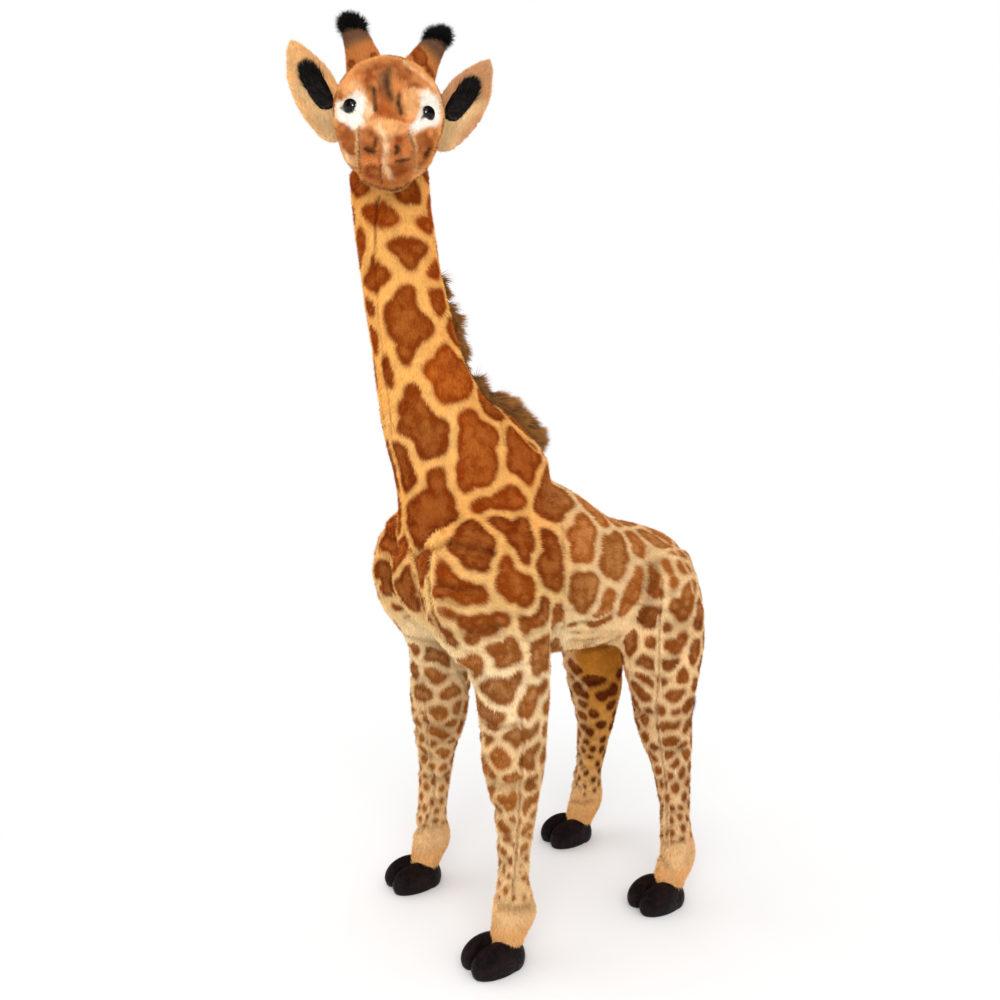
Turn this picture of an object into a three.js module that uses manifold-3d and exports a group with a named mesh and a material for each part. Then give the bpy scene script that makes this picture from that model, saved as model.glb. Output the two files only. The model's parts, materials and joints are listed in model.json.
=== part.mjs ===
// A standing plush giraffe on a welded wire frame.
// Millimetres, +Z up. The giraffe faces -Y and its left side is +X.
// Stuffed forms are rings of points along a spine. Tables hold shares of the sizes named here.
import * as THREE from 'three';
import { mergeVertices } from 'three/addons/utils/BufferGeometryUtils.js';
import Module from 'manifold-3d';

const wasm = await Module();
wasm.setup();

// Gaps and cuts
const seamGap = 0.3;
const rodGap = 0.5;
const turnGap = 0.8;
const boreGap = 0.9;
const flapGap = 1.4;
const ballGap = 1.7;
const overrun = 60;

// Trunk, hung between the front and the hind legs
const trunkWidth = 236;
const trunkHeight = 288;
const chestAhead = 127;
const rumpBehind = 89;
const shoulderAxisDrop = 76;
const rumpAxisDrop = 128;

// Neck, from inside the withers to the ball under the head
const neckRise = 548;
const neckReach = 210;
const neckWidth = 190;
const neckDepth = 250;
const neckRootDrop = 56;
const neckRootBehind = 77;
const neckRimDrop = 30;
const neckBallRadius = 57;

// Head, measured in its own frame: it faces -Y and its origin is the centre of the neck ball
const headTurn = 66;
const headRoll = 3.5;
const headNodRange = 15;
const headNodSpare = 2;
const skullWidth = 144;
const skullDepth = 134;
const skullRise = 74;
const skullBack = 62;
const faceReach = 106;
const faceDrop = 110;
const muzzleWidth = 72;
const muzzleDepth = 92;
const muzzleLength = 112;
const muzzleReach = 126;
const muzzleRise = 46;

// Eyes: a plastic dome on a shank, held by a washer inside the head
const eyeRadius = 10.5;
const eyeDome = 8;
const eyeShankRadius = 2.5;
const eyeBack = 2;
const eyeShankLength = 15;
const eyeWasherRadius = 9;
const eyeWasherThickness = 2;
const eyeWasherInset = 2;
const eyeSpread = 38.5;
const eyeRise = 53;
const eyeAhead = 62;
const eyeSunk = 2.5;

// Ears: a cupped leaf with a satin lining, folded on the seam at its root
const earLength = 157;
const earWidth = 88;
const earThickness = 13;
const earCup = 15;
const earRootRadius = 8;
const earRootLength = 68;
const earRootProud = 3;
const earRootRise = 45;
const earRootBack = 12;
const earTilt = 32;
const earStart = 30;
const earSweep = 14;
const earToe = 4;
const earFlapRange = 25;
const liningLength = 70;
const liningWidth = 34;
const liningThickness = 3;

// Horns and their fur tufts
const hornLength = 69;
const hornSunk = 28;
const hornWidth = 72;
const hornSpread = 25;
const hornRise = 108;
const hornBack = 16;
const leftHornLean = 31;
const rightHornLean = 24;
const tuftWidth = 38;
const tuftHeight = 24;

// Front legs, from the sole to the top of the shoulder
const frontLegHeight = 668;
const shoulderWidth = 108;
const shoulderDepth = 176;
const frontStance = 268;
const frontKneeStance = 232;
const frontLegReach = 143;

// Hind legs, from the sole to the top of the thigh
const hindLegHeight = 590;
const thighWidth = 116;
const thighDepth = 184;
const hindStance = 258;
const hindKneeStance = 190;
const hindLegReach = 165;
const legBow = 25;

// Hooves and the board disc in each of them
const hoofLength = 84;
const hoofWidth = 74;
const hoofHeight = 44;
const hoofLobeWidth = 43;
const hoofLobeRise = 30;
const hoofAhead = 22;
const heelLength = 62;
const heelWidth = 68;
const heelHeight = 42;
const heelRise = 30;
const soleThickness = 6;
const discRadius = 24;
const discThickness = 3;

// Mane, along the back of the neck
const maneWidth = 26;
const maneProud = 34;

// Tail
const tailRootRadius = 16;
const tailLength = 250;
const tailWidth = 26;
const tailRootDrop = 45;
const tailRootBehind = 91;
const tailHang = 30;
const tailTuftLength = 96;
const tailTuftWidth = 40;

// Wire frame: one rod along the back and up the neck, and a rod in each leg that meets it
const rodRadius = 3;
const rodBehind = 25;
const rodHindDrop = 56;
const rodFrontDrop = 92;
const ballRodDepth = 34;
const legRodBendShare = 0.72;

// Facets of each form: points round it, rings for each row of its table, rings of each rounded end,
// and the share of its length that each rounded end takes
const facets = {
  trunk: { around: 16, perRow: 2, capRings: 2, endShare: 0.08 },
  neck: { around: 12, perRow: 2, capRings: 2, endShare: 0.03 },
  leg: { around: 12, perRow: 1, capRings: 2, endShare: 0.03 },
  head: { around: 15, perRow: 2, capRings: 3, endShare: 0.2 },
  muzzle: { around: 12, perRow: 2, capRings: 3, endShare: 0.25 },
  ear: { around: 10, perRow: 1, capRings: 2, endShare: 0.1 },
  lining: { around: 10, perRow: 1, capRings: 2, endShare: 0.1 },
  horn: { around: 10, perRow: 1, capRings: 2, endShare: 0.1 },
  tuft: { around: 10, perRow: 1, capRings: 3, endShare: 0.4 },
  mane: { around: 8, perRow: 1, capRings: 2, endShare: 0.06 },
  tail: { around: 8, perRow: 2, capRings: 2, endShare: 0.05 },
};
const rodSides = 3;
const rodSteps = 12;
const ballDetail = 3;
const jointDetail = 2;
const hoofPoints = 10;
const hoofRings = 7;
const discPoints = 12;
const eyePoints = 12;
const eyeArcs = 3;
const roomPoints = 20;

const xAxis = new THREE.Vector3(1, 0, 0);
const yAxis = new THREE.Vector3(0, 1, 0);
const zAxis = new THREE.Vector3(0, 0, 1);
const sides = [['left', 1], ['right', -1]];

const looks = {
  plush: { color: 0xa8622a, roughness: 0.95, metalness: 0 },
  legPlush: { color: 0xdcae6c, roughness: 0.95, metalness: 0 },
  muzzlePlush: { color: 0xb8793f, roughness: 0.95, metalness: 0 },
  earPlush: { color: 0xe2bd84, roughness: 0.95, metalness: 0 },
  hornPlush: { color: 0x9c5a2a, roughness: 0.95, metalness: 0 },
  satin: { color: 0x1c1618, roughness: 0.5, metalness: 0 },
  tuftFur: { color: 0x0d0c0d, roughness: 0.95, metalness: 0 },
  hoofVelvet: { color: 0x17131a, roughness: 0.6, metalness: 0 },
  maneFur: { color: 0x7d5526, roughness: 0.95, metalness: 0 },
  eyePlastic: { color: 0x0b0808, roughness: 0.08, metalness: 0 },
  washerPlastic: { color: 0xe8e8e4, roughness: 0.5, metalness: 0 },
  stuffing: { color: 0xefece4, roughness: 1, metalness: 0 },
  steel: { color: 0x9a9ca0, roughness: 0.4, metalness: 1 },
  board: { color: 0x8f7a5a, roughness: 0.9, metalness: 0 },
};

const giraffe = new THREE.Group();
const headGroup = new THREE.Group();

function addPart(group, name, geometry, look) {
  const mesh = new THREE.Mesh(geometry, new THREE.MeshStandardMaterial(looks[look]));
  mesh.name = name;
  group.add(mesh);
  return mesh;
}

// Closed geometry with shared corners and no empty triangles
const sameCornerShare = 1e-4;

function closed(geometry) {
  const bare = geometry.clone();
  bare.deleteAttribute('normal');
  bare.deleteAttribute('uv');
  const merged = mergeVertices(bare, sameCornerShare * seamGap);
  const index = merged.index.array;
  const kept = [];
  for (let i = 0; i < index.length; i += 3) {
    const [a, b, c] = [index[i], index[i + 1], index[i + 2]];
    if (a !== b && b !== c && c !== a) kept.push(a, b, c);
  }
  merged.setIndex(kept);
  return merged;
}

function solidOf(geometry) {
  const clean = closed(geometry);
  return new wasm.Manifold(new wasm.Mesh({
    numProp: 3,
    vertProperties: new Float32Array(clean.attributes.position.array),
    triVerts: new Uint32Array(clean.index.array),
  }));
}

function geometryOf(solid) {
  const mesh = solid.getMesh();
  const geometry = new THREE.BufferGeometry();
  geometry.setAttribute('position', new THREE.BufferAttribute(mesh.vertProperties, 3));
  geometry.setIndex(new THREE.BufferAttribute(mesh.triVerts, 1));
  return geometry;
}

function cut(geometry, tools) {
  let solid = solidOf(geometry);
  for (const tool of tools) solid = solid.subtract(solidOf(tool));
  return geometryOf(solid);
}

function join(geometries) {
  let solid = solidOf(geometries[0]);
  for (const other of geometries.slice(1)) solid = solid.add(solidOf(other));
  return geometryOf(solid);
}

// The largest closed piece of what a cut leaves
function mainPiece(geometry) {
  const pieces = solidOf(geometry).decompose();
  pieces.sort((a, b) => b.volume() - a.volume());
  return geometryOf(pieces[0]);
}

// The same shape, every corner moved out along its normal
function grown(geometry, by) {
  const shape = closed(geometry);
  shape.computeVertexNormals();
  const place = shape.attributes.position;
  const normal = shape.attributes.normal;
  for (let i = 0; i < place.count; i += 1) {
    place.setXYZ(i, place.getX(i) + by * normal.getX(i), place.getY(i) + by * normal.getY(i),
      place.getZ(i) + by * normal.getZ(i));
  }
  return shape;
}

// Smooth values between the rows of a table whose first column is the share along the spine
function smooth(rows) {
  const size = rows[0].length - 1;
  const curve = new THREE.CubicInterpolant(rows.map((row) => row[0]), rows.flatMap((row) => row.slice(1)),
    size, new Float64Array(size));
  return (along) => Array.from(curve.evaluate(along));
}

// A stuffed form. The spine is a curve, side is the direction of its width, and each row of shares is
// [share along, width, depth on the side x tangent, depth on the other side], as shares of the sizes.
function stuffed(spine, shares, width, depth, facet, side = xAxis) {
  const { around, perRow, capRings, endShare } = facet;
  const rows = shares.map(([along]) => along).filter((along) => along > endShare && along < 1 - endShare);
  const stations = [endShare, ...rows, 1 - endShare];
  const spans = stations.length - 1;
  const blank = new THREE.CapsuleGeometry(endShare, 1 - 2 * endShare, capRings, around, perRow * spans);
  const section = smooth(shares);
  const place = blank.attributes.position;
  for (let i = 0; i < place.count; i += 1) {
    let along = THREE.MathUtils.clamp(place.getY(i) + 0.5, 0, 1);
    const across = place.getX(i) / endShare;
    const ahead = place.getZ(i) / endShare;
    if (along >= endShare && along <= 1 - endShare) {
      const count = spans * (along - endShare) / (1 - 2 * endShare);
      const span = Math.min(Math.floor(count), spans - 1);
      along = THREE.MathUtils.lerp(stations[span], stations[span + 1], count - span);
    }
    const [widthShare, aheadShare, behindShare] = section(along);
    const tangent = spine.getTangentAt(along);
    const forward = new THREE.Vector3().crossVectors(side, tangent).normalize();
    const point = spine.getPointAt(along);
    point.addScaledVector(side, across * widthShare * width / 2);
    point.addScaledVector(forward, ahead * (ahead > 0 ? aheadShare : behindShare) * depth / 2);
    place.setXYZ(i, point.x, point.y, point.z);
  }
  return closed(blank);
}

function curveThrough(points) {
  return new THREE.CatmullRomCurve3(points.map(([x, y, z]) => new THREE.Vector3(x, y, z)), false, 'centripetal');
}

function rodAlong(points, radius) {
  const section = new THREE.Shape();
  section.absarc(0, 0, radius, 0, 2 * Math.PI);
  return closed(new THREE.ExtrudeGeometry(section, {
    steps: rodSteps, extrudePath: curveThrough(points), curveSegments: rodSides, bevelEnabled: false,
  }));
}

function ballAt(centre, radius, detail) {
  return closed(new THREE.IcosahedronGeometry(radius, detail).translate(centre.x, centre.y, centre.z));
}

function slabBelow(height) {
  const reach = 2 * (trunkLength + frontStance);
  return new THREE.BoxGeometry(reach, reach, reach).translate(0, 0, height - reach / 2);
}

// Places along and up the toy, all from where the legs stand and how tall they are
const trunkLength = chestAhead + frontLegReach + hindLegReach + rumpBehind;
const chestReach = frontLegReach + chestAhead;
const rumpAxisHeight = hindLegHeight - rumpAxisDrop;
const trunkRise = frontLegHeight - shoulderAxisDrop - rumpAxisHeight;
const neckRootHeight = frontLegHeight - neckRootDrop;
const neckRootReach = frontLegReach - neckRootBehind;
const rodHindHeight = hindLegHeight - rodHindDrop;
const rodFrontHeight = frontLegHeight - rodFrontDrop;
const rodStartBack = hindLegReach + rodBehind;

// Trunk
const trunkShares = [
  // along, width, height above the spine, height below it
  [0, 0.55, 0.44, 0.44],
  [0.07, 0.62, 0.56, 0.56],
  [0.16, 0.78, 0.74, 0.74],
  [0.28, 0.92, 0.86, 0.9],
  [0.42, 1, 0.98, 0.99],
  [0.54, 1, 0.88, 0.92],
  [0.66, 0.97, 0.74, 0.8],
  [0.78, 0.88, 0.72, 0.7],
  [0.88, 0.76, 0.72, 0.62],
  [0.95, 0.62, 0.58, 0.54],
  [1, 0.48, 0.46, 0.46],
];
const trunkSpineShares = [[0, 0.96], [0.25, 0.84], [0.42, 0.78], [0.6, 0.58], [0.8, 0.37], [1, 0.06]];

function trunkSpine() {
  return curveThrough(trunkSpineShares.map(([along, rise]) => [
    0, along * trunkLength - chestReach, rumpAxisHeight + rise * trunkRise]));
}

function trunkForm() {
  return stuffed(trunkSpine(), trunkShares, trunkWidth, trunkHeight, facets.trunk);
}

// Neck
const neckSpineShares = [
  // reach forward, rise
  [0, 0], [0.2, 0.087], [0.39, 0.204], [0.61, 0.316], [0.73, 0.424], [0.81, 0.53],
  [0.87, 0.631], [0.92, 0.731], [0.955, 0.831], [0.98, 0.927], [1, 1],
];
const neckShares = [
  [0, 0.56, 1, 0.68],
  [0.11, 0.9, 1.16, 0.9],
  [0.23, 0.97, 1.1, 0.84],
  [0.36, 0.84, 0.73, 0.645],
  [0.47, 0.73, 0.57, 0.54],
  [0.57, 0.67, 0.5, 0.51],
  [0.66, 0.625, 0.472, 0.48],
  [0.76, 0.595, 0.446, 0.458],
  [0.85, 0.58, 0.436, 0.45],
  [0.94, 0.57, 0.436, 0.445],
  [1, 0.57, 0.436, 0.44],
];

function neckPoint([reach, rise]) {
  return [0, -neckRootReach - reach * neckReach, neckRootHeight + rise * neckRise];
}

function neckSpine() {
  return curveThrough(neckSpineShares.map(neckPoint));
}

const neckTop = neckSpine().getPointAt(1);
const neckAxis = neckSpine().getTangentAt(1);

function neckForm() {
  return stuffed(neckSpine(), neckShares, neckWidth, neckDepth, facets.neck);
}

// A box with its lower face through a point, square to a direction
function slabBeyond(point, direction) {
  const reach = 4 * neckBallRadius;
  const slab = new THREE.BoxGeometry(reach, reach, reach).translate(0, 0, reach / 2);
  slab.applyQuaternion(new THREE.Quaternion().setFromUnitVectors(zAxis, direction));
  return slab.translate(point.x, point.y, point.z);
}

// Legs: one function for both pairs
const frontLegShares = [
  // share of the height, width, depth ahead, depth behind
  [0, 0.46, 0.28, 0.26],
  [0.085, 0.52, 0.32, 0.42],
  [0.11, 0.52, 0.315, 0.43],
  [0.17, 0.46, 0.28, 0.29],
  [0.23, 0.47, 0.29, 0.295],
  [0.29, 0.51, 0.32, 0.33],
  [0.35, 0.64, 0.4, 0.4],
  [0.41, 0.79, 0.49, 0.5],
  [0.45, 0.86, 0.54, 0.56],
  [0.52, 0.91, 0.56, 0.63],
  [0.58, 0.95, 0.57, 0.72],
  [0.63, 0.94, 0.58, 0.82],
  [0.69, 0.95, 0.69, 0.98],
  [0.76, 0.97, 0.99, 1.18],
  [0.83, 0.97, 1.08, 1.28],
  [0.89, 0.93, 1.04, 1.22],
  [0.95, 0.82, 0.86, 1.02],
  [1, 0.62, 0.58, 0.72],
];
const hindLegShares = [
  [0, 0.42, 0.26, 0.25],
  [0.1, 0.47, 0.29, 0.41],
  [0.13, 0.46, 0.285, 0.41],
  [0.2, 0.44, 0.275, 0.3],
  [0.26, 0.45, 0.28, 0.3],
  [0.33, 0.52, 0.335, 0.345],
  [0.4, 0.62, 0.4, 0.4],
  [0.47, 0.77, 0.47, 0.52],
  [0.57, 0.88, 0.55, 0.6],
  [0.64, 0.92, 0.68, 0.7],
  [0.72, 0.96, 0.82, 0.82],
  [0.79, 0.98, 0.88, 0.85],
  [0.86, 0.96, 0.86, 0.78],
  [0.93, 0.88, 0.74, 0.64],
  [1, 0.68, 0.52, 0.46],
];
const legSpineShares = {
  // share of the height, share of the way out from the knee to the foot, shares of the leg's bow ahead
  front: [
    [0, 1, 1], [0.047, 1, 0.8], [0.108, 0.98, 0.45], [0.168, 0.9, 0.36], [0.229, 0.78, 0.25], [0.32, 0.62, 0.05],
    [0.411, 0.15, 0], [0.502, 0, 0], [0.624, -0.5, 0.15], [0.745, -1.3, 0.76], [0.836, -1.9, 1.25], [1, -2.5, 1.9]],
  hind: [
    [0, 1, 0.76], [0.053, 1, 0.4], [0.09, 1, 0.08], [0.122, 1, -0.12], [0.19, 0.85, -0.16], [0.26, 0.65, -0.24],
    [0.33, 0.44, -0.28], [0.4, 0.18, -0.24], [0.467, 0, 0.04], [0.57, 0, 0.26], [0.72, -0.04, 0.3], [1, -0.5, 0.2]],
};

const legPairs = {
  front: {
    shares: frontLegShares, height: frontLegHeight, width: shoulderWidth, depth: shoulderDepth,
    footOut: frontStance / 2, kneeOut: frontKneeStance / 2, reach: -frontLegReach, rodHeight: rodFrontHeight,
  },
  hind: {
    shares: hindLegShares, height: hindLegHeight, width: thighWidth, depth: thighDepth,
    footOut: hindStance / 2, kneeOut: hindKneeStance / 2, reach: hindLegReach, rodHeight: rodHindHeight,
  },
};

function legSpinePoints(pairName, side) {
  const pair = legPairs[pairName];
  const base = soleThickness + discThickness;
  return legSpineShares[pairName].map(([up, out, bow]) => [
    side * (pair.kneeOut + out * (pair.footOut - pair.kneeOut)), pair.reach - bow * legBow,
    base + up * (pair.height - base)]);
}

function footPoint(pairName, side) {
  const [x, y] = legSpinePoints(pairName, side)[0];
  return new THREE.Vector3(x, y, 0);
}

function legForm(pairName, side) {
  const pair = legPairs[pairName];
  return stuffed(curveThrough(legSpinePoints(pairName, side)), pair.shares, pair.width, pair.depth, facets.leg);
}

// A leg's rod stands on its disc, runs up the middle of the leg and bends in to the side of the back rod.
// With a clearance it is the tool for its bore, fatter and longer by that much.
function legRodForm(pairName, side, clearance = 0) {
  const pair = legPairs[pairName];
  const inLeg = legSpinePoints(pairName, side).filter(([, , z]) => z < legRodBendShare * pair.rodHeight);
  const [foot] = inLeg;
  foot[2] = soleThickness + discThickness + seamGap - clearance;
  inLeg.splice(1, 0, [foot[0], foot[1], foot[2] + 2 * rodRadius]);
  const bend = [side * pair.kneeOut * legRodBendShare, pair.reach, pair.rodHeight];
  const end = [side * (rodRadius + seamGap - clearance), pair.reach, pair.rodHeight];
  return rodAlong([...inLeg, bend, end], rodRadius + clearance);
}

// The back rod runs level over the hind legs, up over the front legs and on along the neck into the ball
function backRodForm(clearance = 0) {
  const up = neckSpineShares.slice(3).map(neckPoint);
  const end = neckTop.clone().addScaledVector(neckAxis, ballRodDepth - neckBallRadius + clearance);
  up[up.length - 1] = end.toArray();
  return rodAlong([[0, rodStartBack + clearance, rodHindHeight], [0, hindLegReach, rodHindHeight],
    [0, 0, (rodFrontHeight + rodHindHeight) / 2], [0, -frontLegReach, rodFrontHeight], ...up],
  rodRadius + clearance);
}

// Hooves: two lobes and a heel, flat underneath
function hoofLump(width, length, rise, x, y, top) {
  return new THREE.SphereGeometry(1, hoofPoints, hoofRings).rotateX(Math.PI / 2)
    .scale(width / 2, length / 2, rise).translate(x, y, top - rise);
}

function hoofForm(pairName, side) {
  const foot = footPoint(pairName, side);
  const aside = (hoofWidth - hoofLobeWidth) / 2;
  const lobes = [-aside, aside].map((x) => hoofLump(
    hoofLobeWidth, hoofLength, hoofLobeRise, foot.x + x, foot.y - hoofAhead, hoofHeight));
  const heel = hoofLump(heelWidth, heelLength, heelRise, foot.x, foot.y, heelHeight);
  return cut(join([...lobes, heel]), [slabBelow(0)]);
}

function discForm(pairName, side) {
  const foot = footPoint(pairName, side);
  const disc = new THREE.CylinderGeometry(discRadius, discRadius, discThickness, discPoints).rotateX(Math.PI / 2);
  return disc.translate(foot.x, foot.y, soleThickness + discThickness / 2);
}

// Tail
const tailRoot = new THREE.Vector3(0, hindLegReach + tailRootBehind, hindLegHeight - tailRootDrop);
const tailShares = [[0, 0.9, 0.9, 0.9], [0.2, 1, 1, 1], [0.6, 0.86, 0.86, 0.86], [1, 0.7, 0.7, 0.7]];
const tailTuftShares = [[0, 0.6, 0.6, 0.6], [0.35, 1, 1, 1], [0.7, 0.8, 0.8, 0.8], [1, 0.3, 0.3, 0.3]];
// Share of the hang behind the root, share of the length below it
const tailSpineShares = [[0, 0], [0.6, 0.01], [0.92, 0.1], [1, 0.3], [1, 1]];

function tailPoint([back, down]) {
  return [0, tailRoot.y + back * tailHang, tailRoot.z - down * tailLength];
}

function tailForm() {
  const cord = stuffed(curveThrough(tailSpineShares.map(tailPoint)), tailShares, tailWidth, tailWidth, facets.tail);
  return join([cord, ballAt(tailRoot, tailRootRadius, jointDetail)]);
}

function tailTuftForm() {
  const [, back, end] = tailPoint([1, 1]);
  const points = [tailWidth, tailWidth - tailTuftLength / 2, tailWidth - tailTuftLength];
  return stuffed(curveThrough(points.map((up) => [0, back, end + up])), tailTuftShares, tailTuftWidth,
    tailTuftWidth, facets.tuft);
}

// Mane: a crest of fur along the back of the neck, thick at its lower end
const maneAlongShares = [0.17, 0.27, 0.37, 0.47, 0.59, 0.73];
const maneShares = [
  [0, 0.8, 0.4, 1.1], [0.1, 1, 0.4, 1.1], [0.26, 1, 0.4, 0.9], [0.42, 0.9, 0.4, 0.5], [0.6, 0.8, 0.4, 0.36],
  [0.8, 0.8, 0.4, 0.34], [1, 0.6, 0.4, 0.26]];

function maneForm() {
  const spine = neckSpine();
  const section = smooth(neckShares);
  const points = maneAlongShares.map((along) => {
    const forward = new THREE.Vector3().crossVectors(xAxis, spine.getTangentAt(along)).normalize();
    return spine.getPointAt(along).addScaledVector(forward, -section(along)[2] * neckDepth / 2).toArray();
  });
  return stuffed(curveThrough(points), maneShares, maneWidth, 2 * maneProud, facets.mane);
}

// Head
function headQuaternion() {
  const turn = new THREE.Quaternion().setFromAxisAngle(zAxis, THREE.MathUtils.degToRad(headTurn));
  const roll = new THREE.Quaternion().setFromAxisAngle(yAxis, THREE.MathUtils.degToRad(headRoll));
  return turn.multiply(roll);
}

const headShares = [
  // along, width, depth under the spine, depth over it
  [0, 0.72, 0.72, 0.72],
  [0.12, 0.92, 0.9, 0.92],
  [0.3, 1, 0.96, 1],
  [0.45, 0.99, 0.94, 0.96],
  [0.6, 0.93, 0.86, 0.8],
  [0.75, 0.84, 0.76, 0.64],
  [0.88, 0.74, 0.64, 0.54],
  [1, 0.6, 0.5, 0.44],
];

// Share of the skull's back or, ahead, of the face's reach, and share of the face's drop
const headSpineShares = [[-1, 0], [-0.2, 0.045], [0.415, 0.33], [1, 1]];

function headForm() {
  const spine = curveThrough(headSpineShares.map(([ahead, down]) => [
    0, -ahead * (ahead < 0 ? skullBack : faceReach), skullRise - down * faceDrop]));
  return stuffed(spine, headShares, skullWidth, skullDepth, facets.head);
}

const muzzleShares = [
  [0, 0.7, 0.6, 0.5],
  [0.2, 0.86, 0.8, 0.7],
  [0.5, 0.98, 0.94, 0.84],
  [0.75, 1, 1, 0.94],
  [1, 0.82, 0.84, 0.8],
];

// Share of the muzzle's length behind its reach, and below its rise
const muzzleSpineShares = [[0.66, 0.1], [0.3, 0.45], [0.06, 0.76]];

function muzzleForm() {
  const spine = curveThrough(muzzleSpineShares.map(([behind, down]) => [
    0, behind * muzzleLength - muzzleReach, muzzleRise - down * muzzleLength]));
  return stuffed(spine, muzzleShares, muzzleWidth, muzzleDepth, facets.muzzle);
}

// Where a ray from the middle of the skull leaves the head, and the surface's direction there
function headSurface(geometry, target) {
  const start = new THREE.Vector3(0, 0, skullRise);
  const mesh = new THREE.Mesh(geometry, new THREE.MeshBasicMaterial({ side: THREE.DoubleSide }));
  mesh.updateMatrixWorld();
  const hits = new THREE.Raycaster(start, target.clone().sub(start).normalize()).intersectObject(mesh);
  const hit = hits[hits.length - 1];
  return { point: hit.point, normal: hit.point.clone().sub(start).normalize() };
}

function placed(geometry, point, direction) {
  const turn = new THREE.Quaternion().setFromUnitVectors(zAxis, direction);
  return geometry.clone().applyQuaternion(turn).translate(point.x, point.y, point.z);
}

// Eye pieces, drawn along +Z with the head's surface at zero
function lathed(points, segments) {
  const profile = points.map(([radius, height]) => new THREE.Vector2(radius, height));
  return closed(new THREE.LatheGeometry(profile, segments).rotateX(Math.PI / 2));
}

function eyeForm() {
  const dome = [];
  for (let i = 0; i < eyeArcs; i += 1) {
    const angle = i / eyeArcs * Math.PI / 2;
    dome.push([eyeRadius * Math.cos(angle), eyeDome * Math.sin(angle) - eyeSunk]);
  }
  return lathed([[0, -eyeSunk - eyeShankLength], [eyeShankRadius, -eyeSunk - eyeShankLength],
    [eyeShankRadius, -eyeSunk - eyeBack], [eyeRadius, -eyeSunk - eyeBack / 2], ...dome,
    [0, eyeDome - eyeSunk]], eyePoints);
}

// The washer grips the inner end of the shank
function eyeWasherTop() {
  return eyeWasherThickness + eyeWasherInset - eyeSunk - eyeShankLength;
}

function eyeWasherForm() {
  const bore = eyeShankRadius + seamGap;
  const top = eyeWasherTop();
  const low = top - eyeWasherThickness;
  return lathed([[bore, low], [eyeWasherRadius, low], [eyeWasherRadius, top], [bore, top], [bore, low]], eyePoints);
}

function eyePocket() {
  const top = eyeWasherTop() + seamGap;
  const low = -eyeSunk - eyeShankLength - seamGap;
  const radius = eyeWasherRadius + seamGap;
  return lathed([[0, low], [radius, low], [radius, top], [0, top]], eyePoints);
}

// Horns
const hornShares = [[0, 1, 1, 1], [0.3, 0.93, 0.93, 0.93], [0.65, 0.68, 0.68, 0.68], [1, 0.52, 0.52, 0.52]];
const tuftShares = [[0, 0.7, 0.7, 0.7], [0.4, 1, 1, 1], [1, 0.8, 0.8, 0.8]];
const tuftSunkShare = 0.4;

// A straight spine along a horn's axis, between two distances from its foot on the skull
function hornSpine(side, from, to) {
  const lean = THREE.MathUtils.degToRad(side > 0 ? leftHornLean : rightHornLean);
  return curveThrough([from, (from + to) / 2, to].map((up) => [
    side * (hornSpread + up * Math.sin(lean)), hornBack, hornRise + up * Math.cos(lean)]));
}

function hornForm(side) {
  return stuffed(hornSpine(side, -hornSunk, hornLength), hornShares, hornWidth, hornWidth, facets.horn);
}

function hornTuftForm(side) {
  const low = hornLength - tuftSunkShare * tuftHeight;
  return stuffed(hornSpine(side, low, low + tuftHeight), tuftShares, tuftWidth, tuftWidth, facets.tuft);
}

// Ears, in a frame of their own: the root lies along Z, the leaf runs out along X and up, hollow side to -Y
const earShares = [
  // along, thickness, lower side, upper side
  [0, 0.9, 0.5, 0.3],
  [0.14, 1, 0.78, 0.46],
  [0.36, 1, 0.98, 0.6],
  [0.64, 0.9, 0.84, 0.6],
  [0.82, 0.8, 0.54, 0.4],
  [0.95, 0.7, 0.28, 0.2],
  [1, 0.6, 0.16, 0.12],
];

const liningShares = [[0, 1, 0.8, 0.4], [0.3, 1, 1.1, 0.7], [0.7, 1, 1.1, 0.7], [1, 1, 0.7, 0.3]];

function leafSpine(length, start, forward) {
  const tilt = THREE.MathUtils.degToRad(earTilt);
  return curveThrough([0, 0.5, 1].map((share) => [
    (start + share * length) * Math.sin(tilt), -forward, (start + share * length) * Math.cos(tilt)]));
}

function cupped(geometry) {
  const tilt = THREE.MathUtils.degToRad(earTilt);
  const place = geometry.attributes.position;
  for (let i = 0; i < place.count; i += 1) {
    const aside = (place.getX(i) * Math.cos(tilt) - place.getZ(i) * Math.sin(tilt)) / (earWidth / 2);
    const reach = THREE.MathUtils.clamp(place.getX(i) / (earWidth / 2), 0, 1);
    place.setY(i, place.getY(i) - earCup * aside * aside * reach);
  }
  return geometry;
}

function earRootForm() {
  const { around, capRings } = facets.ear;
  const roll = new THREE.CapsuleGeometry(earRootRadius, earRootLength - 2 * earRootRadius, capRings, around, 1);
  return closed(roll.rotateX(Math.PI / 2));
}

// The leaf stops short of the skull however the ear is flapped. Its root roll stays whole in a pocket.
function earForm(skullTools) {
  const leaf = cupped(stuffed(leafSpine(earLength, -earStart, 0), earShares, earThickness, earWidth,
    facets.ear, yAxis));
  const behind = new THREE.BoxGeometry(overrun, 2 * overrun, 4 * overrun).translate(-overrun / 2, 0, 0);
  return join([mainPiece(cut(leaf, [behind, ...skullTools])), earRootForm()]);
}

function liningForm(skullTools) {
  const forward = (earThickness + liningThickness) / 2;
  const leaf = cupped(stuffed(leafSpine(liningLength, 2 * earRootRadius, forward), liningShares,
    2 * liningThickness, liningWidth, facets.lining, yAxis));
  return mainPiece(cut(leaf, skullTools));
}

function mirrored(geometry) {
  const copy = closed(geometry);
  copy.scale(-1, 1, 1);
  const index = copy.index.array;
  for (let i = 0; i < index.length; i += 3) {
    const first = index[i];
    index[i] = index[i + 1];
    index[i + 1] = first;
  }
  return copy;
}

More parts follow.
